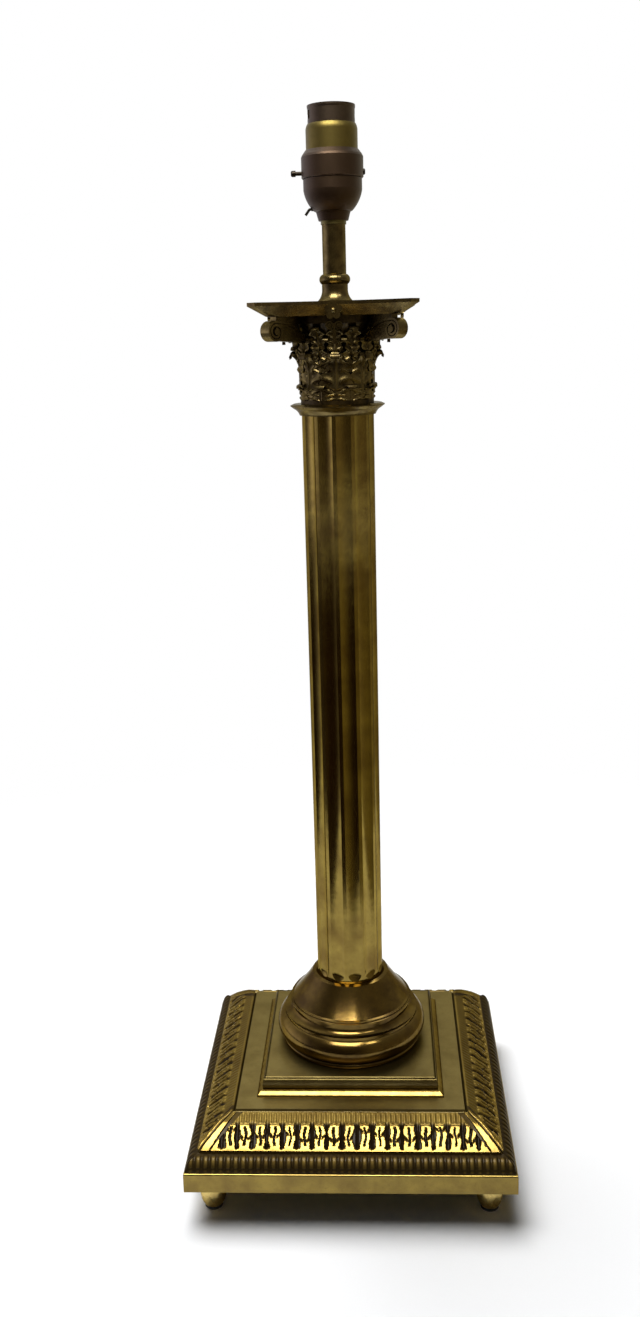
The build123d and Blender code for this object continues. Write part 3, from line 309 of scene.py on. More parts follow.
def aged_brass(name, clean, aged, dirt_and_shade, patch=16.0, rough=0.17, grain=0.5, lathe_lines=0.0):
    """Polished brass under a thin lacquer that has darkened in clouds: cast pieces are soft and
    wavy to the eye, their hollows and corners take a dark colour that is painted shade with dirt,
    and the lacquer adds a pale gleam."""
    tree, output, place = new_finish(name)
    clouds = noise(tree, place, patch, 5.0, Roughness=0.6)
    cloud_share = ramp(tree, clouds, 0.36, 0.66)
    spots = noise(tree, place, SPOT_SIZE, 3.0, Roughness=0.7)
    spot_share = ramp(tree, spots, 0.58, 0.74)
    colour = blend(tree, cloud_share, clean, aged)
    spotted = blend(tree, spot_share, colour, aged)
    carving = add_node(tree, "ShaderNodeAttribute", attribute_name="recess")
    # the occlusion node darkens corners into the dark colour: painted shade, with some dirt
    reach = {"Distance": SHADE_AND_DIRT_REACH * MM}
    corners = add_node(tree, "ShaderNodeAmbientOcclusion", reach, samples=6, only_local=True)
    corner_shade_and_dirt = ramp(tree, corners.outputs["AO"], 0.75, 0.25)
    hollows = larger(tree, carving.outputs["Fac"], corner_shade_and_dirt)
    shaded_and_dirty = blend(tree, hollows, spotted, dirt_and_shade)
    rough_value = ramp(tree, clouds, 0.0, 1.0, rough - 0.05, rough + 0.1)
    rough_dirt = add_node(
        tree, "ShaderNodeMix", {0: hollows, 2: rough_value, 3: DIRT_ROUGH}, data_type="FLOAT"
    )
    waves = noise(tree, place, WAVE_SIZE, 1.0)
    pits = noise(tree, place, grain, 2.0)
    normal = bump(tree, waves, 0.5, 0.1)
    normal = bump(tree, pits, 0.25, 0.02, normal)
    if lathe_lines:
        turned = add_node(
            tree,
            "ShaderNodeTexWave",
            {"Vector": place, "Scale": 1.0 / lathe_lines / FULL_TURN * 2.0, "Distortion": 0.6},
            wave_type="BANDS",
            bands_direction="Z",
        )
        normal = bump(tree, turned.outputs["Fac"], 0.15, 0.02, normal)
    shader = add_node(
        tree,
        "ShaderNodeBsdfPrincipled",
        {
            "Base Color": shaded_and_dirty,
            "Metallic": 1.0,
            "Roughness": rough_dirt.outputs[0],
            "Specular Tint": GLOSS_TINT,
            "Coat Weight": LACQUER_GLEAM,
            "Coat Roughness": LACQUER_ROUGH,
            "Normal": normal,
        },
    )
    tree.links.new(shader.outputs[0], output.inputs["Surface"])


def plain_finish(name, colour, shade, metallic, rough, patch, grain, tint=None, ior=None):
    """A finish of one base colour that clouds into a second shade, with a fine grain."""
    tree, output, place = new_finish(name)
    clouds = noise(tree, place, patch, 4.0, Roughness=0.6)
    mixed = blend(tree, clouds, colour, shade)
    rough_value = ramp(tree, clouds, 0.0, 1.0, rough - 0.06, rough + 0.08)
    pits = noise(tree, place, grain, 3.0)
    inputs = {
        "Base Color": mixed,
        "Metallic": metallic,
        "Roughness": rough_value,
        "Normal": bump(tree, pits, 0.3, 0.03),
    }
    if tint:
        inputs["Specular Tint"] = (*tint, 1.0)
    if ior:
        inputs["IOR"] = ior
    shader = add_node(tree, "ShaderNodeBsdfPrincipled", inputs)
    tree.links.new(shader.outputs[0], output.inputs["Surface"])


class LAMP_OT_finishes(bpy.types.Operator):
    """Make the finishes that the pieces share"""

    bl_idname = "lamp.finishes"
    bl_label = "Finishes"

    def execute(self, context):
        colours = context.scene.lamp_colours
        clean, aged, dirt_and_shade = colours.polished, colours.lacquered, colours.dirt_and_shade
        aged_brass("cast_brass_polished", clean, aged, dirt_and_shade)
        shaft = linear("#94803e")
        aged_brass(
            "turned_brass_polished", shaft, aged, dirt_and_shade, patch=22.0, rough=0.11, lathe_lines=0.6
        )
        # brass of the capital and stem, out of the cloth's way: olive brown and duller
        aged_brass(
            "cast_brass_tarnished",
            colours.tarnished,
            colours.tarnish_deep,
            dirt_and_shade,
            patch=7.0,
            rough=0.22,
        )
        # ground of the capital behind the leaves: nearly all the dark colour of dried polish and
        # dirt, also painted shade under the leaves
        aged_brass("cast_brass_shade_and_dirt", colours.tarnish_deep, dirt_and_shade, dirt_and_shade, patch=5.0, rough=0.4)
        # cup and rings at the column's foot: lacquer gone brown, in a darker copy of the turned
        # brass, painted shade; they gleam dark
        aged_brass(
            "turned_brass_browned_shaded",
            aged,
            linear("#46351a"),
            dirt_and_shade,
            patch=18.0,
            rough=0.14,
            lathe_lines=0.6,
        )
        # fascia and feet: brighter copies of the brass, painted light
        aged_brass("cast_brass_painted_light", linear("#8f7b3e"), linear("#756234"), dirt_and_shade, rough=0.2)
        aged_brass("foot_brass_painted_light", linear("#d9c078"), linear("#b89e5a"), dirt_and_shade, rough=0.25)
        # ledge and plateau: lacquer gone satin, which spreads what it mirrors, in a darker copy of
        # the brass: painted shade
        aged_brass("cast_brass_satin_shaded", linear("#6f6138"), linear("#5b4e2b"), dirt_and_shade, rough=0.33)
        # dull turned brass of the lampholder: never polished, brown-green with age
        plain_finish(
            "holder_brass_dull",
            colours.holder_brass,
            linear("#4d442b"),
            1.0,
            0.34,
            5.0,
            0.4,
        )
        # the shade ring, brighter where rings have rubbed it
        plain_finish(
            "shade_ring_brass", linear("#7a6b39"), linear("#544a27"), 1.0, 0.4, 6.0, 0.4
        )
        # bare barrel end, brown-grey from the heat of lamps
        plain_finish(
            "barrel_brass_heated", linear("#5e5144"), linear("#40362d"), 1.0, 0.36, 5.0, 0.4
        )
        # push bar and locking screw: chemically blackened, worn a little
        plain_finish("blackened_brass", linear("#37312a"), linear("#221e1a"), 1.0, 0.36, 2.5, 0.3)
        # bright contact brass: clean yellow metal with a drawn surface
        plain_finish(
            "contact_brass_bright", linear("#c9a75a"), linear("#a98745"), 1.0, 0.25, 4.0, 0.3
        )
        # phenolic resin, compression moulded: dark brown, glossy skin gone a little dull
        plain_finish(
            "phenolic_resin_moulded",
            colours.resin,
            linear("#20120a"),
            0.0,
            0.42,
            6.0,
            0.5,
            tint=(1.0, 0.66, 0.42),
            ior=1.6,
        )
        # insulator of the same resin, but without the polished skin
        plain_finish(
            "phenolic_insulator", linear("#3a291c"), linear("#2a1d14"), 0.0, 0.5, 3.0, 0.4, ior=1.6
        )
        # zinc-plated steel: grey, softly cloudy
        plain_finish("plated_steel", linear("#9a9a96"), linear("#7d7b75"), 1.0, 0.36, 5.0, 0.4)
        # hard-drawn spring steel: darker and smoother
        plain_finish(
            "spring_steel_drawn", linear("#a8a8a6"), linear("#8d8c88"), 1.0, 0.28, 2.0, 0.3
        )
        # sand-cast iron ballast: nearly black, coarse grain
        plain_finish("cast_iron_ballast", linear("#34322f"), linear("#211f1d"), 0.6, 0.72, 7.0, 0.9)
        # moulded rubber pads: matt black-brown
        plain_finish(
            "rubber_pad", linear("#201d1a"), linear("#161412"), 0.0, 0.75, 4.0, 0.5, ior=1.52
        )
        # moulded bush, satin thermoplastic
        satin, deep = linear("#1f1b18"), linear("#171411")
        plain_finish("bush_thermoplastic", satin, deep, 0.0, 0.42, 4.0, 0.5, ior=1.49)
        return {"FINISHED"}


# ------------------------------------------------------------------ square base
# Half side and level of each moulding's edges, in millimetres, and how far it bows outward
BASE_SLOPE_FOOT = (91.6, 41.2)
BASE_SLOPE_HEAD = (71.8, 56.2)
BASE_SLOPE_SWELL = 0.9
COVE_FOOT = (98.9, 32.4)  # the moulding under the border: called a cove, but it bows out
COVE_HEAD = (91.3, 41.5)
COVE_SWELL = 1.75
STEP_FOOT = (58.6, 56.9)
STEP_BEND = (54.9, 60.4)
STEP_SWELL = 0.1
STEP_HEAD = (53.5, 67.9)
TONGUE_RELIEF = 0.6
STEP_CARVING = (8.0, 0.2, 1.0)  # pitch, relief and mesh step of the strips on the step
MITRE_LEAF = 0.75  # width of the leaf along a mitre, in pitches
NO_LEAF = 0.0
STRIP_SINK = -0.25  # a strip's edges lie this far under the cast surface


def slope_line(foot, head, swell, share):
    """Point and outward normal of a bowed moulding, from its foot (0) to its head (1)."""
    run = head[0] - foot[0]
    rise = head[1] - foot[1]
    length = math.hypot(run, rise)
    out = (rise / length, -run / length)
    bow = 4.0 * swell * share * (1.0 - share)
    tilt = 4.0 * swell * (1.0 - 2.0 * share) / length
    half = foot[0] + run * share + out[0] * bow
    level = foot[1] + rise * share + out[1] * bow
    normal = Vector((out[0] - tilt * run / length, out[1] - tilt * rise / length)).normalized()
    return half, level, normal.x, normal.y


def chance(cell, which):
    """A fixed number from 0 to 1 for a carved unit, so that no two are cut alike."""
    return math.sin(cell * 12.9898 + which * 78.233) * 43758.5453 % 1.0


def leaf_relief(across, up, cell):
    """Height, and share of the dark colour for dirt and painted shade, of one upright leaf; across
    runs -0.5 to 0.5, up runs 0 to 1.
    """
    bulge = math.sin(math.pi * min(up / 0.7, 1.0))
    sway = (chance(cell, 1) - 0.5) * 0.2 * bulge
    sway += 0.05 * math.sin(up * 14.0 + cell * 2.4)
    side = abs(across - sway)
    half = 0.35 + (chance(cell, 2) - 0.35) * 0.12 * bulge
    leaf = smooth_step(0.0, 0.05, half - side)
    # open slot in the middle, cut wider in some leaves
    slot_half = 0.06 + 0.05 * chance(cell, 3)
    slot = smooth_step(0.0, 0.04, slot_half - side)
    slot *= smooth_step(0.15, 0.2, up) * (1.0 - smooth_step(0.48 + 0.1 * chance(cell, 5), 0.62, up))
    # slanting cut that parts the side lobes
    lobe_cut = abs(up - 0.2 - 0.28 * chance(cell, 4) - 0.35 * side) / 0.04
    lobe_cut = smooth_step(0.0, 0.8, 1.0 - lobe_cut) * smooth_step(0.13, 0.2, side)
    leaf *= (1.0 - slot) * (1.0 - 0.9 * lobe_cut)
    # foot rail, pierced between two leaves
    rail = 1.0 - smooth_step(0.09, 0.13, up)
    hole = ((0.5 - abs(across)) / 0.15) ** 2 + ((up - 0.16) / 0.075) ** 2
    leaf = max(leaf, rail * smooth_step(0.7, 1.3, hole))
    # the ground falls to a sharp line in the middle of each gap and slot
    ground = 0.36 * min(min(0.5 - abs(across), side + 0.02) / 0.13, 1.0)
    height = ground + (1.0 - ground) * leaf
    # low rippled heads
    heads = 0.36 + 0.12 * math.cos(across * 3.0 * FULL_TURN) * (1.0 - smooth_step(0.9, 1.0, up))
    low = smooth_step(0.64, 0.74, up)
    # darkest in the gaps and slots, darker on the low heads: painted shade, with dirt
    dirt_and_shade = (1.0 - smooth_step(0.3, 0.8, leaf)) * (1.0 - low)
    dirt_and_shade += low * (0.35 + 0.4 * smooth_step(0.0, 0.2, 0.36 - heads))
    return height * (1.0 - low) + heads * low, dirt_and_shade


def tongue_relief(across, up, cell):
    """Height, and share of the dark colour, of one small tongue of the moulding under the border;
    the band is painted nearly all dark, as shade.
    """
    side = abs(across)
    body = math.sqrt(max(0.0, 1.0 - (side / 0.38) ** 2))
    body *= smooth_step(0.1, 0.3, up) * (1.0 - smooth_step(0.7, 0.95, up))
    bead = math.sqrt(max(0.0, 1.0 - ((up - 0.1) / 0.1) ** 2))
    bead *= 0.7 + 0.3 * math.cos(side * FULL_TURN)
    height = max(body, bead)
    # nearly all dark: painted shade, a little lighter on the tongues' tops
    return height, 0.95 - 0.2 * smooth_step(0.6, 1.0, height)


def bar_relief(across, up, cell):
    """The plain sloping bar at the foot of the step, a little dented."""
    return 0.5 + 0.2 * math.sin(across * FULL_TURN + cell), 0.0


def painted_shade_relief(across, up, cell):
    """The hollow above the bar, painted dark as shade."""
    return 0.1, 0.9


def carve_strip(name, foot, head, swell, pitch, relief, step, pattern, corner_leaf):
    """Carved strips on the four sides of a square moulding, mitred at the corners."""
    length = math.hypot(head[0] - foot[0], head[1] - foot[1])
    rows = max(int(length / step * 0.72), 6) + 1
    columns = int(2.0 * foot[0] / step) + 1
    points, recess = [], []
    for column in range(columns):
        place = (column / (columns - 1) * 2.0 - 1.0) * foot[0]
        for row in range(rows):
            up = row / (rows - 1)
            half, level, out_run, out_rise = slope_line(foot, head, swell, up)
            along = place * (1.0 - abs(place / foot[0]) ** 4.0 * (1.0 - half / foot[0]))
            cell = round(along / pitch)
            share, dirt_and_shade = pattern(along / pitch - cell, up, cell)
            # long leaf that lies along the mitre, with its rib on the corner
            beside = (half - abs(along)) / pitch
            if beside < corner_leaf:
                rib = smooth_step(0.02, 0.1, beside)
                rim = smooth_step(0.0, 0.08, corner_leaf * (1.0 - 0.55 * up) - beside)
                share = 0.35 + 0.65 * rib * rim * (1.0 - 0.5 * smooth_step(0.7, 0.9, up))
                # darker beside the mitre leaf's rib: painted shade, with dirt
                dirt_and_shade = 0.9 - 0.9 * rib * rim
            edge = smooth_step(0.0, 0.04, up) * (1.0 - smooth_step(0.97, 1.0, up))
            lift = (relief * share + 0.05) * edge + STRIP_SINK * (1.0 - edge)
            run = half + out_run * lift
            along = max(-run, min(run, along))
            points.append((along, -run, level + out_rise * lift))
            recess.append(dirt_and_shade)
    faces = grid_faces(columns, rows)
    count = len(points)
    turned_points, turned_faces, turned_recess = [], [], []
    for quarter in range(4):
        spin = Matrix.Rotation(quarter * FULL_TURN / 4.0, 3, "Z")
        turned_points += [tuple(spin @ Vector(p)) for p in points]
        turned_faces += [tuple(i + quarter * count for i in face) for face in faces]
        turned_recess += recess
    return mount_piece(
        name, turned_points, turned_faces, "cast_brass_polished", recess=turned_recess
    )


class LAMP_OT_base(bpy.types.Operator):
    """Finish the cast base and carve its leaf border and mouldings"""

    bl_idname = "lamp.base"
    bl_label = "Square base"

    def execute(self, context):
        sizes = context.scene.lamp_border
        # fascia: brighter copy of the brass, painted light
        dress("base_frame", "cast_brass_painted_light")
        # ledge and plateau: darker copy of the brass, painted shade
        dress("base_plinth", "cast_brass_satin_shaded")
        dress("border_leaves", "cast_brass_polished")
        leaves = carve_strip(
            "leaf_border",
            BASE_SLOPE_FOOT,
            BASE_SLOPE_HEAD,
            BASE_SLOPE_SWELL,
            sizes.pitch,
            sizes.relief,
            sizes.step,
            leaf_relief,
            MITRE_LEAF,
        )
        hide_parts("border_leaves")
        carve_strip(
            "cove_tongues",
            COVE_FOOT,
            COVE_HEAD,
            COVE_SWELL,
            sizes.pitch / 2.0,
            TONGUE_RELIEF,
            sizes.step,
            tongue_relief,
            NO_LEAF,
        )
        carve_strip(
            "step_bar", STEP_FOOT, STEP_BEND, STEP_SWELL, *STEP_CARVING, bar_relief, NO_LEAF
        )
        # dark strip over the step's hollow: painted shade
        carve_strip(
            "step_hollow_painted_shade", STEP_BEND, STEP_HEAD, 0.0, *STEP_CARVING, painted_shade_relief, NO_LEAF
        )
        return {"FINISHED"}


class LAMP_OT_feet(bpy.types.Operator):
    """Finish the turned feet and their pads"""

    bl_idname = "lamp.feet"
    bl_label = "Feet"

    def execute(self, context):
        for corner in ("front_left", "front_right", "rear_left", "rear_right"):
            # feet: brighter copy of the brass, painted light
            dress(f"foot_{corner}", "foot_brass_painted_light")
        dress("foot_pads", "rubber_pad")
        return {"FINISHED"}


class LAMP_OT_clamp(bpy.types.Operator):
    """Finish the tie rod, its clamp and the flex outlet"""

    bl_idname = "lamp.clamp"
    bl_label = "Rod and clamp"

    def execute(self, context):
        dress("base_weight", "cast_iron_ballast")
        for name in ("rod_washer", "rod_nut", "tie_rod", "column_foot_disc", "column_head_disc"):
            dress(name, "plated_steel")
        dress("cord_bush", "bush_thermoplastic")
        return {"FINISHED"}


# ------------------------------------------------------------------ column
class LAMP_OT_column(bpy.types.Operator):
    """Finish the column's foot, shaft and neck"""

    bl_idname = "lamp.column"
    bl_label = "Column"

    def execute(self, context):
        dress("column_tube", "turned_brass_polished")
        # cup and torus: darker copy of the turned brass, painted shade
        for name in ("column_torus", "column_cup"):
            dress(name, "turned_brass_browned_shaded")
        dress("neck_ring", "cast_brass_tarnished")
        return {"FINISHED"}


# ------------------------------------------------------------------ capital
LEAF_THICKNESS = 0.8
# Tiers of leaves: count, first angle, half width, foot's radius and level, upright length,
# radius and degrees of the lean, radius and degrees of the rolled tip
LEAF_TIERS = (
    (8, 22.5, 7.4, 20.9, 480.6, 4.2, 6.0, 35.0, 0.9, 165.0),
    (8, 0.0, 7.9, 21.3, 484.5, 12.3, 14.0, 38.0, 1.35, 175.0),
    (8, 22.5, 5.2, 21.9, 496.0, 6.0, 12.0, 40.0, 1.1, 160.0),
    (16, 11.25, 3.8, 22.3, 502.5, 3.5, 14.0, 35.0, 1.1, 170.0),
    (16, 0.0, 4.2, 24.6, 508.0, 4.0, 12.0, 40.0, 1.3, 175.0),
)


def leaf_path(stand, foot, upright, sweep, lean, curl, roll, share):
    """Radius, level and lean of a leaf's middle line, from its foot (0) to its tip (1)."""
    swept = sweep * lean
    place = share * (upright + swept + curl * roll)
    if place < upright:
        return stand, foot + place, 0.0
    if place < upright + swept:
        turn = (place - upright) / sweep
        return stand + sweep * (1.0 - math.cos(turn)), foot + upright + sweep * math.sin(turn), turn
    turn = lean + (place - upright - swept) / curl
    neck = stand + sweep * (1.0 - math.cos(lean))
    top = foot + upright + sweep * math.sin(lean)
    return (
        neck + curl * (math.cos(lean) - math.cos(turn)),
        top + curl * (math.sin(turn) - math.sin(lean)),
        turn,
    )


def acanthus_leaf(half_width, stand, foot, upright, sweep, lean, curl, roll):
    """Closed mesh of one acanthus leaf on the -Y side: points, faces and recess shares, which paint
    shade and dirt.
    """
    rows, columns, lobes = 30, 19, 4.0
    lean, roll = math.radians(lean), math.radians(roll)
    points, recess = [], []
    for row in range(rows):
        share = row / (rows - 1)
        radius, level, turn = leaf_path(stand, foot, upright, sweep, lean, curl, roll, share)
        width = half_width * (0.8 + 0.2 * smooth_step(0.0, 0.3, share))
        width *= 1.0 - 0.62 * smooth_step(0.45, 1.0, share)
        width *= 1.0 + 0.2 * math.sin((lobes * share - 0.15) * FULL_TURN)
        lifts = []
        for column in range(columns):
            across = column / (columns - 1) * 2.0 - 1.0
            side = abs(across)
            rib = 0.7 * math.exp(-((side / 0.13) ** 2))
            ridge = 0.5 + 0.5 * math.sin((lobes * share - 0.15 + (1.0 - side) * 0.55) * FULL_TURN)
            lift = rib + 0.75 * ridge * smooth_step(0.12, 0.4, side) + 0.5 * side * side
            lifts.append((across * width, lift))
        for x, lift in lifts + [(x, -LEAF_THICKNESS) for x, _ in reversed(lifts)]:
            out = radius + math.cos(turn) * lift
            around = x / max(radius, 1.0)
            points.append(
                (out * math.sin(around), -out * math.cos(around), level - math.sin(turn) * lift)
            )
            # dark low between the ridges, half dark underneath: painted shade, with dirt
            recess.append(min(max(0.85 - 1.7 * lift, 0.0), 0.9) if lift > 0.0 else 0.35)
    ring = 2 * columns
    faces = [
        (
            row * ring + i,
            row * ring + (i + 1) % ring,
            (row + 1) * ring + (i + 1) % ring,
            (row + 1) * ring + i,
        )
        for row in range(rows - 1)
        for i in range(ring)
    ]
    faces.append(tuple(reversed(range(ring))))
    faces.append(tuple((rows - 1) * ring + i for i in range(ring)))
    return points, faces, recess


def capital_foliage(name, tiers):
    """All the leaves of the capital as one cast sleeve."""
    points, faces, recess = [], [], []
    for count, first, *sizes in tiers:
        leaf_points, leaf_faces, leaf_recess = acanthus_leaf(*sizes)
        for turn in range(count):
            spin = Matrix.Rotation(math.radians(first + turn * 360.0 / count), 3, "Z")
            start = len(points)
            points += [tuple(spin @ Vector(p)) for p in leaf_points]
            faces += [tuple(i + start for i in face) for face in leaf_faces]
            recess += leaf_recess
    mount_piece(name, points, faces, "cast_brass_tarnished", recess=recess)


class LAMP_OT_capital(bpy.types.Operator):
    """Finish the bell, scrolls and abacus, and cut the acanthus leaves"""

    bl_idname = "lamp.capital"
    bl_label = "Capital"

    def execute(self, context):
        # the bell is painted dark as shade behind the leaves, with dirt
        dress("capital_bell", "cast_brass_shade_and_dirt")
        for name in (
            "capital_leaves",
            "corner_volutes",
            "face_scrolls",
            "abacus",
            "abacus_rosettes",
        ):
            dress(name, "cast_brass_tarnished")
        capital_foliage("acanthus_leaves", LEAF_TIERS)
        return {"FINISHED"}


# ------------------------------------------------------------------ stem and lampholder
class LAMP_OT_stem(bpy.types.Operator):
    """Finish the stem between the capital and the lampholder"""

    bl_idname = "lamp.stem"
    bl_label = "Stem"

    def execute(self, context):
        for name in ("stem_base", "stem_collar", "stem_tube"):
            dress(name, "cast_brass_tarnished")
        dress("entry_bush", "holder_brass_dull")
        return {"FINISHED"}


SPRING_WIRE = 0.25  # radius of the plunger springs' wire
SPRING_TURNS = 6
SPRING_CLOSE = 0.45  # how much the pitch closes towards both ends


def coil_spring(name, node):
    """A drawn wire coil with closed ends."""
    low, high = (Vector(corner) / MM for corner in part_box(node))
    middle = (low + high) / 2.0
    coil = (high.x - low.x) / 2.0 - SPRING_WIRE
    rise = high.z - low.z - 2.0 * SPRING_WIRE
    steps, sides = SPRING_TURNS * 24, 8
    points = []
    for step in range(steps + 1):
        share = step / steps
        turn = share * SPRING_TURNS * FULL_TURN
        climb = share - SPRING_CLOSE * math.sin(share * FULL_TURN) / FULL_TURN
        for side in range(sides):
            around = side / sides * FULL_TURN
            radius = coil + SPRING_WIRE * math.cos(around)
            level = low.z + SPRING_WIRE + climb * rise + SPRING_WIRE * math.sin(around)
            points.append(
                (middle.x + radius * math.cos(turn), middle.y + radius * math.sin(turn), level)
            )
    faces = [
        (
            step * sides + side,
            (step + 1) * sides + side,
            (step + 1) * sides + (side + 1) % sides,
            step * sides + (side + 1) % sides,
        )
        for step in range(steps)
        for side in range(sides)
    ]
    faces.append(tuple(range(sides)))
    faces.append(tuple(steps * sides + side for side in reversed(range(sides))))
    spring = mount_piece(name, points, faces, "spring_steel_drawn", crease=60.0)
    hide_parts(node)
    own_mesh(spring)


class LAMP_OT_holder(bpy.types.Operator):
    """Finish the lampholder and its moving pieces"""

    bl_idname = "lamp.holder"
    bl_label = "Lampholder"

    def execute(self, context):
        for name in ("holder_cap", "holder_body"):
            dress(name, "phenolic_resin_moulded")
        dress("contact_block", "phenolic_insulator")
        dress("bayonet_barrel", "barrel_brass_heated")
        dress("skirt_ring", "shade_ring_brass")
        for name in ("push_bar", "locking_screw"):
            dress(name, "blackened_brass")
        for name in (
            "contact_terminals",
            "terminal_screws",
            "switch_contacts",
            "plunger_front",
            "plunger_rear",
        ):
            dress(name, "contact_brass_bright")
        for side in ("front", "rear"):
            dress(f"plunger_spring_{side}", "spring_steel_drawn")
            coil_spring(f"coil_{side}", f"plunger_spring_{side}")
        return {"FINISHED"}


# ------------------------------------------------------------------ studio
# Glows that the brass mirrors: direction, colour and how tight the glow is.
ROOM_DARK = (0.03, 0.016, 0.008)
TABLE_GLOWS = (
    ((0.85, -0.53, 0.0), (0.21, 0.18, 0.07), 3.5),
    ((0.75, 0.66, 0.0), (0.36, 0.32, 0.18), 3.0),
    ((-0.71, 0.71, 0.0), (0.55, 0.55, 0.60), 4.0),
    ((0.0, 1.0, 0.0), (0.40, 0.40, 0.38), 3.0),
)
DRAPE_GLOWS = (
    ((0.0, -1.0, 0.0), (0.05, 0.045, 0.03), 1.0),
    ((0.0, 0.82, 0.57), (0.42, 0.44, 0.42), 2.0),
    ((0.85, -0.53, 0.0), (0.20, 0.17, 0.11), 3.5),
    ((0.75, 0.66, 0.0), (0.38, 0.36, 0.26), 3.0),
    ((-1.0, 0.1, 0.0), (1.05, 1.02, 1.25), 8.0),
    ((-0.71, 0.71, 0.0), (0.45, 0.45, 0.50), 4.0),
    ((0.0, 0.0, 1.0), (0.30, 0.30, 0.26), 2.0),
)
# Middle of the white sheet: it lies further to the left and back than to the front
SHEET_MIDDLE = (-0.09, 0.25)
# Soft boxes: name, azimuth off the front and elevation in degrees, distance, width, height,
# watts, and whether matt surfaces catch it or only the brass
SOFT_BOXES = (
    ("front_box", -12.0, 63.0, 1.6, 0.85, 0.56, 24.0, False),
    ("right_box", 43.0, 58.0, 1.6, 0.3, 0.25, 2.0, False),
    ("rear_box", 178.0, 60.0, 1.7, 0.9, 0.45, 6.0, True),
)
BOX_COLOUR = (1.0, 0.98, 0.93)
# Overhead light: where it comes from, and the cosines off it where it starts and is full
SKY_FROM = (-0.30, 0.31, 0.93)
SKY_EDGE = (0.90, 0.985)
SKY_STRENGTH = 10.2
SKY_REST = 0.02  # strength of the sky outside that light
SKY_COLOUR = (0.97, 0.98, 1.0)
# In metres: the drape and the table stand just clear of the floor and of each other
DRAPE_RADIUS, DRAPE_LIFT = 3.0, 0.001
TABLE_RADIUS, TABLE_LIFT = 2.7, 0.0006
FLOOR_REACH = 1.2
FIBRE_SCALE = 900.0  # paper fibres to the metre
PAPER_FADE = (0.3, 0.75)  # distances where the paper starts to fade and is gone


def add_stage_mesh(name, points, faces, material, camera):
    """A mesh of the studio; one that only the brass mirrors is hidden from the camera."""
    mesh = bpy.data.meshes.new(name)
    mesh.from_pydata(points, [], faces)
    mesh.materials.append(material)
    item = bpy.data.objects.new(name, mesh)
    bpy.context.scene.collection.objects.link(item)
    if not camera:
        item.visible_camera = False
        item.visible_diffuse = False
        item.visible_shadow = False
        item.visible_transmission = False
        item.visible_volume_scatter = False


def glowing(name, glows):
    """Dim surroundings that only the polished metal sees: soft glows on a dark ground."""
    material, tree, output = new_material(name)
    place = add_node(tree, "ShaderNodeNewGeometry")
    way = add_node(
        tree, "ShaderNodeVectorMath", {0: place.outputs["Position"]}, operation="NORMALIZE"
    )
    total = ROOM_DARK
    for direction, colour, tight in glows:
        facing = add_node(
            tree,
            "ShaderNodeVectorMath",
            {0: way.outputs["Vector"], 1: Vector(direction).normalized()},
            operation="DOT_PRODUCT",
        )
        kept = larger(tree, facing.outputs["Value"], 0.0)
        glow = add_node(tree, "ShaderNodeMath", {0: kept, 1: tight}, operation="POWER")
        tint = add_node(
            tree,
            "ShaderNodeVectorMath",
            {0: colour, "Scale": glow.outputs[0]},
            operation="SCALE",
        )
        added = add_node(
            tree, "ShaderNodeVectorMath", {0: total, 1: tint.outputs["Vector"]}, operation="ADD"
        )
        total = added.outputs["Vector"]
    shader = add_node(tree, "ShaderNodeEmission", {"Color": total, "Strength": 1.0})
    tree.links.new(shader.outputs[0], output.inputs["Surface"])
    return material


def add_drape():
    """The dim room round the lamp, seen only in the polished metal."""
    sides, rings = 64, 17
    points, faces = [], []
    for ring in range(rings):
        lift = ring / (rings - 1) * FULL_TURN / 4.0
        for side in range(sides):
            turn = side / sides * FULL_TURN
            points.append(
                (
                    DRAPE_RADIUS * math.cos(lift) * math.cos(turn),
                    DRAPE_RADIUS * math.cos(lift) * math.sin(turn),
                    DRAPE_RADIUS * math.sin(lift) + DRAPE_LIFT,
                )
            )
    for ring in range(rings - 1):
        for side in range(sides):
            after = (side + 1) % sides
            start = ring * sides
            faces.append((start + side, start + after, start + sides + after, start + sides + side))
    cloth = glowing("drape_cloth", DRAPE_GLOWS)
    add_stage_mesh("studio_drape", points, faces, cloth, camera=False)


def add_dark_table(inner):
    """Dark table top beyond the white sheet, seen only in the polished metal."""
    sides = 96
    points, faces = [], []
    for side in range(sides):
        turn = side / sides * FULL_TURN
        for radius in (inner, TABLE_RADIUS):
            across, back = radius * math.cos(turn), radius * math.sin(turn)
            points.append((SHEET_MIDDLE[0] + across, SHEET_MIDDLE[1] + back, TABLE_LIFT))
    for side in range(sides):
        after = (side + 1) % sides
        faces.append((2 * side, 2 * side + 1, 2 * after + 1, 2 * after))
    add_stage_mesh("dark_table", points, faces, glowing("table_wood", TABLE_GLOWS), camera=False)


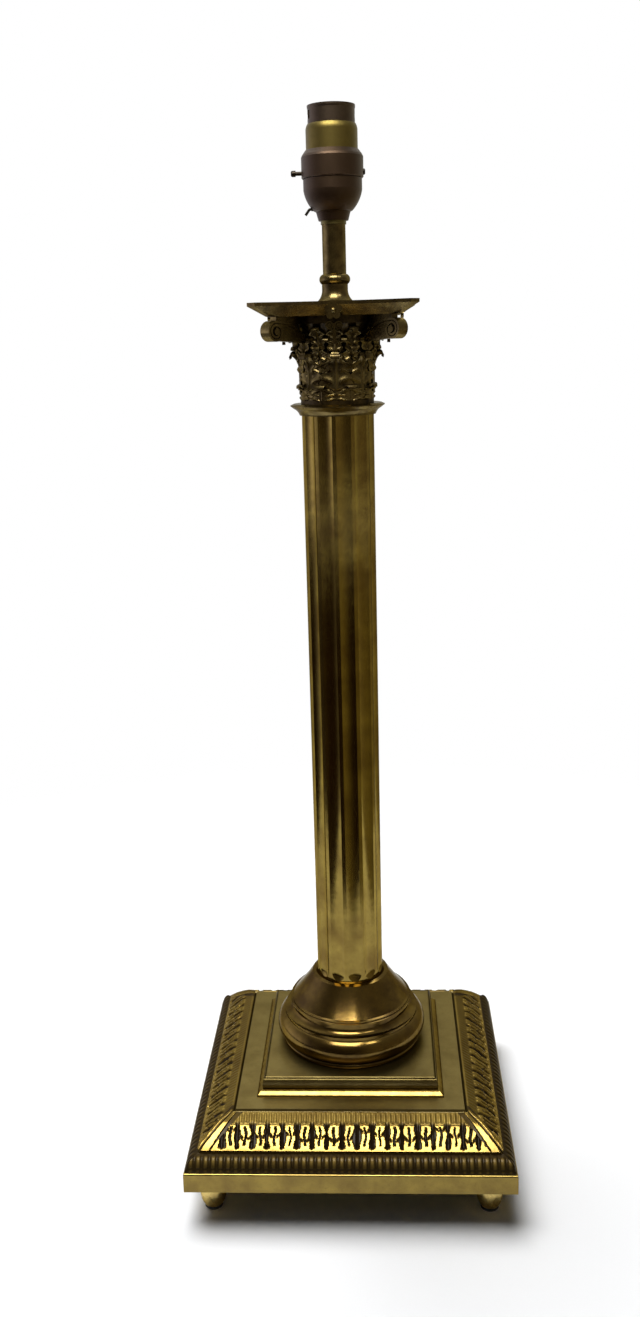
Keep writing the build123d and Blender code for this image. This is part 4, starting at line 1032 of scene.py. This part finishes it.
def add_floor():
    """Matt white paper that keeps the lamp's shadow and fades into the white far away."""
    material, tree, output = new_material("white_paper")
    place = add_node(tree, "ShaderNodeTexCoord")
    away = add_node(
        tree, "ShaderNodeVectorMath", {0: place.outputs["Object"]}, operation="LENGTH"
    )
    fade = add_node(
        tree,
        "ShaderNodeMapRange",
        {"Value": away.outputs["Value"], "From Min": PAPER_FADE[0], "From Max": PAPER_FADE[1]},
        interpolation_type="SMOOTHSTEP",
    )
    fibres = add_node(
        tree,
        "ShaderNodeTexNoise",
        {"Vector": place.outputs["Object"], "Scale": FIBRE_SCALE, "Detail": 2.0},
    )
    tone = blend(tree, fibres.outputs["Fac"], linear("#f6f6f6"), linear("#fafafa"))
    paper = add_node(
        tree,
        "ShaderNodeBsdfPrincipled",
        {"Base Color": tone, "Roughness": 0.9, "Specular IOR Level": 0.2},
    )
    clear = add_node(tree, "ShaderNodeBsdfTransparent")
    mixed = add_node(
        tree,
        "ShaderNodeMixShader",
        {0: fade.outputs[0], 1: paper.outputs[0], 2: clear.outputs[0]},
    )
    tree.links.new(mixed.outputs[0], output.inputs["Surface"])
    corners = ((-1, -1), (1, -1), (1, 1), (-1, 1))
    points = [(x * FLOOR_REACH, y * FLOOR_REACH, 0.0) for x, y in corners]
    add_stage_mesh("studio_floor", points, [(0, 1, 2, 3)], material, camera=True)


def light_world(world):
    """Narrow light from overhead, a little to the left and behind, which gives the hard shadow
    under the base, and a white background for camera, gloss and glass."""
    world.use_nodes = True
    tree = world.node_tree
    tree.nodes.clear()
    output = add_node(tree, "ShaderNodeOutputWorld")
    path = add_node(tree, "ShaderNodeLightPath")
    seen = larger(tree, path.outputs["Is Camera Ray"], path.outputs["Is Glossy Ray"])
    seen_through = larger(tree, seen, path.outputs["Is Transmission Ray"])
    way = add_node(tree, "ShaderNodeTexCoord")
    overhead = add_node(
        tree,
        "ShaderNodeVectorMath",
        {0: way.outputs["Generated"], 1: Vector(SKY_FROM).normalized()},
        operation="DOT_PRODUCT",
    )
    strength = add_node(
        tree,
        "ShaderNodeMapRange",
        {
            "Value": overhead.outputs["Value"],
            "From Min": SKY_EDGE[0],
            "From Max": SKY_EDGE[1],
            "To Min": SKY_REST,
            "To Max": SKY_STRENGTH,
        },
        interpolation_type="SMOOTHSTEP",
    )
    light = add_node(
        tree,
        "ShaderNodeBackground",
        {"Color": SKY_COLOUR, "Strength": strength.outputs[0]},
    )
    white = add_node(tree, "ShaderNodeBackground", {"Color": (1.0, 1.0, 1.0), "Strength": 1.0})
    mixed = add_node(
        tree,
        "ShaderNodeMixShader",
        {0: seen_through, 1: light.outputs[0], 2: white.outputs[0]},
    )
    tree.links.new(mixed.outputs[0], output.inputs["Surface"])


def add_soft_box(name, azimuth, elevation, distance, width, height, watts, matt):
    """A soft box aimed at the middle of the lamp's foot; matt says whether paper and resin
    catch it, and not only the gloss."""
    lamp = bpy.data.lights.new(name, "AREA")
    lamp.shape = "RECTANGLE"
    lamp.size = width
    lamp.size_y = height
    lamp.energy = watts
    lamp.color = BOX_COLOUR
    box = bpy.data.objects.new(name, lamp)
    box.visible_diffuse = matt
    turn, lift = math.radians(azimuth), math.radians(elevation)
    back = Vector(
        (math.sin(turn) * math.cos(lift), -math.cos(turn) * math.cos(lift), math.sin(lift))
    )
    box.location = back * distance
    box.rotation_euler = (-back).to_track_quat("-Z", "Y").to_euler()
    bpy.context.scene.collection.objects.link(box)


def add_camera(scene, sizes):
    """The eye that sees the lamp as a person standing in front of the table does."""
    yaw, pitch, roll = sizes.yaw, sizes.pitch, sizes.roll
    ahead = Vector(
        (math.sin(yaw) * math.cos(pitch), math.cos(yaw) * math.cos(pitch), -math.sin(pitch))
    )
    level = Vector((math.cos(yaw), -math.sin(yaw), 0.0))
    above = level.cross(ahead)
    right = math.cos(roll) * level + math.sin(roll) * above
    up = -math.sin(roll) * level + math.cos(roll) * above
    eye = bpy.data.cameras.new("eye")
    eye.sensor_fit = "AUTO"
    eye.sensor_width = 36.0
    eye.lens = sizes.lens
    eye.clip_start = 0.01
    eye.clip_end = 50.0
    camera = bpy.data.objects.new("eye", eye)
    turn = Matrix((right, up, -ahead)).transposed().to_4x4()
    camera.matrix_world = Matrix.Translation(sizes.camera_place) @ turn
    scene.collection.objects.link(camera)
    scene.camera = camera


class LAMP_OT_stage(bpy.types.Operator):
    """Set up the floor, the light and the camera"""

    bl_idname = "lamp.stage"
    bl_label = "Studio"

    def execute(self, context):
        scene = context.scene
        sizes = scene.lamp_stage
        scene.view_settings.view_transform = "Standard"
        if scene.world is None:
            scene.world = bpy.data.worlds.new("studio")
        light_world(scene.world)
        add_floor()
        add_dark_table(sizes.sheet_radius)
        add_drape()
        for box in SOFT_BOXES:
            add_soft_box(*box)
        add_camera(scene, sizes)
        return {"FINISHED"}


class LAMP_PT_sidebar(bpy.types.Panel):
    """Sizes, colours and pieces of the lamp"""

    bl_idname = "LAMP_PT_sidebar"
    bl_label = "Column lamp"
    bl_space_type = "VIEW_3D"
    bl_region_type = "UI"
    bl_category = "Lamp"

    def draw(self, context):
        layout = self.layout
        for group in ("lamp_colours", "lamp_border", "lamp_stage"):
            values = getattr(context.scene, group)
            box = layout.box()
            for key in values.__annotations__:
                box.prop(values, key)
        for operator in OPERATORS:
            layout.operator(operator.bl_idname)


OPERATORS = (
    LAMP_OT_finishes,
    LAMP_OT_base,
    LAMP_OT_feet,
    LAMP_OT_clamp,
    LAMP_OT_column,
    LAMP_OT_capital,
    LAMP_OT_stem,
    LAMP_OT_holder,
    LAMP_OT_stage,
)
GROUPS = (
    ("lamp_colours", LampFinishColours),
    ("lamp_border", LampBorderSizes),
    ("lamp_stage", LampStageSizes),
)


def register():
    for name, group in GROUPS:
        bpy.utils.register_class(group)
        setattr(bpy.types.Scene, name, bpy.props.PointerProperty(type=group))
    for operator in OPERATORS:
        bpy.utils.register_class(operator)
    bpy.utils.register_class(LAMP_PT_sidebar)


def unregister():
    bpy.utils.unregister_class(LAMP_PT_sidebar)
    for operator in reversed(OPERATORS):
        bpy.utils.unregister_class(operator)
    for name, group in reversed(GROUPS):
        delattr(bpy.types.Scene, name)
        bpy.utils.unregister_class(group)


def main():
    register()
    for operator in OPERATORS:
        group, action = operator.bl_idname.split(".")
        getattr(getattr(bpy.ops, group), action)()


if __name__ == "__main__":
    main()
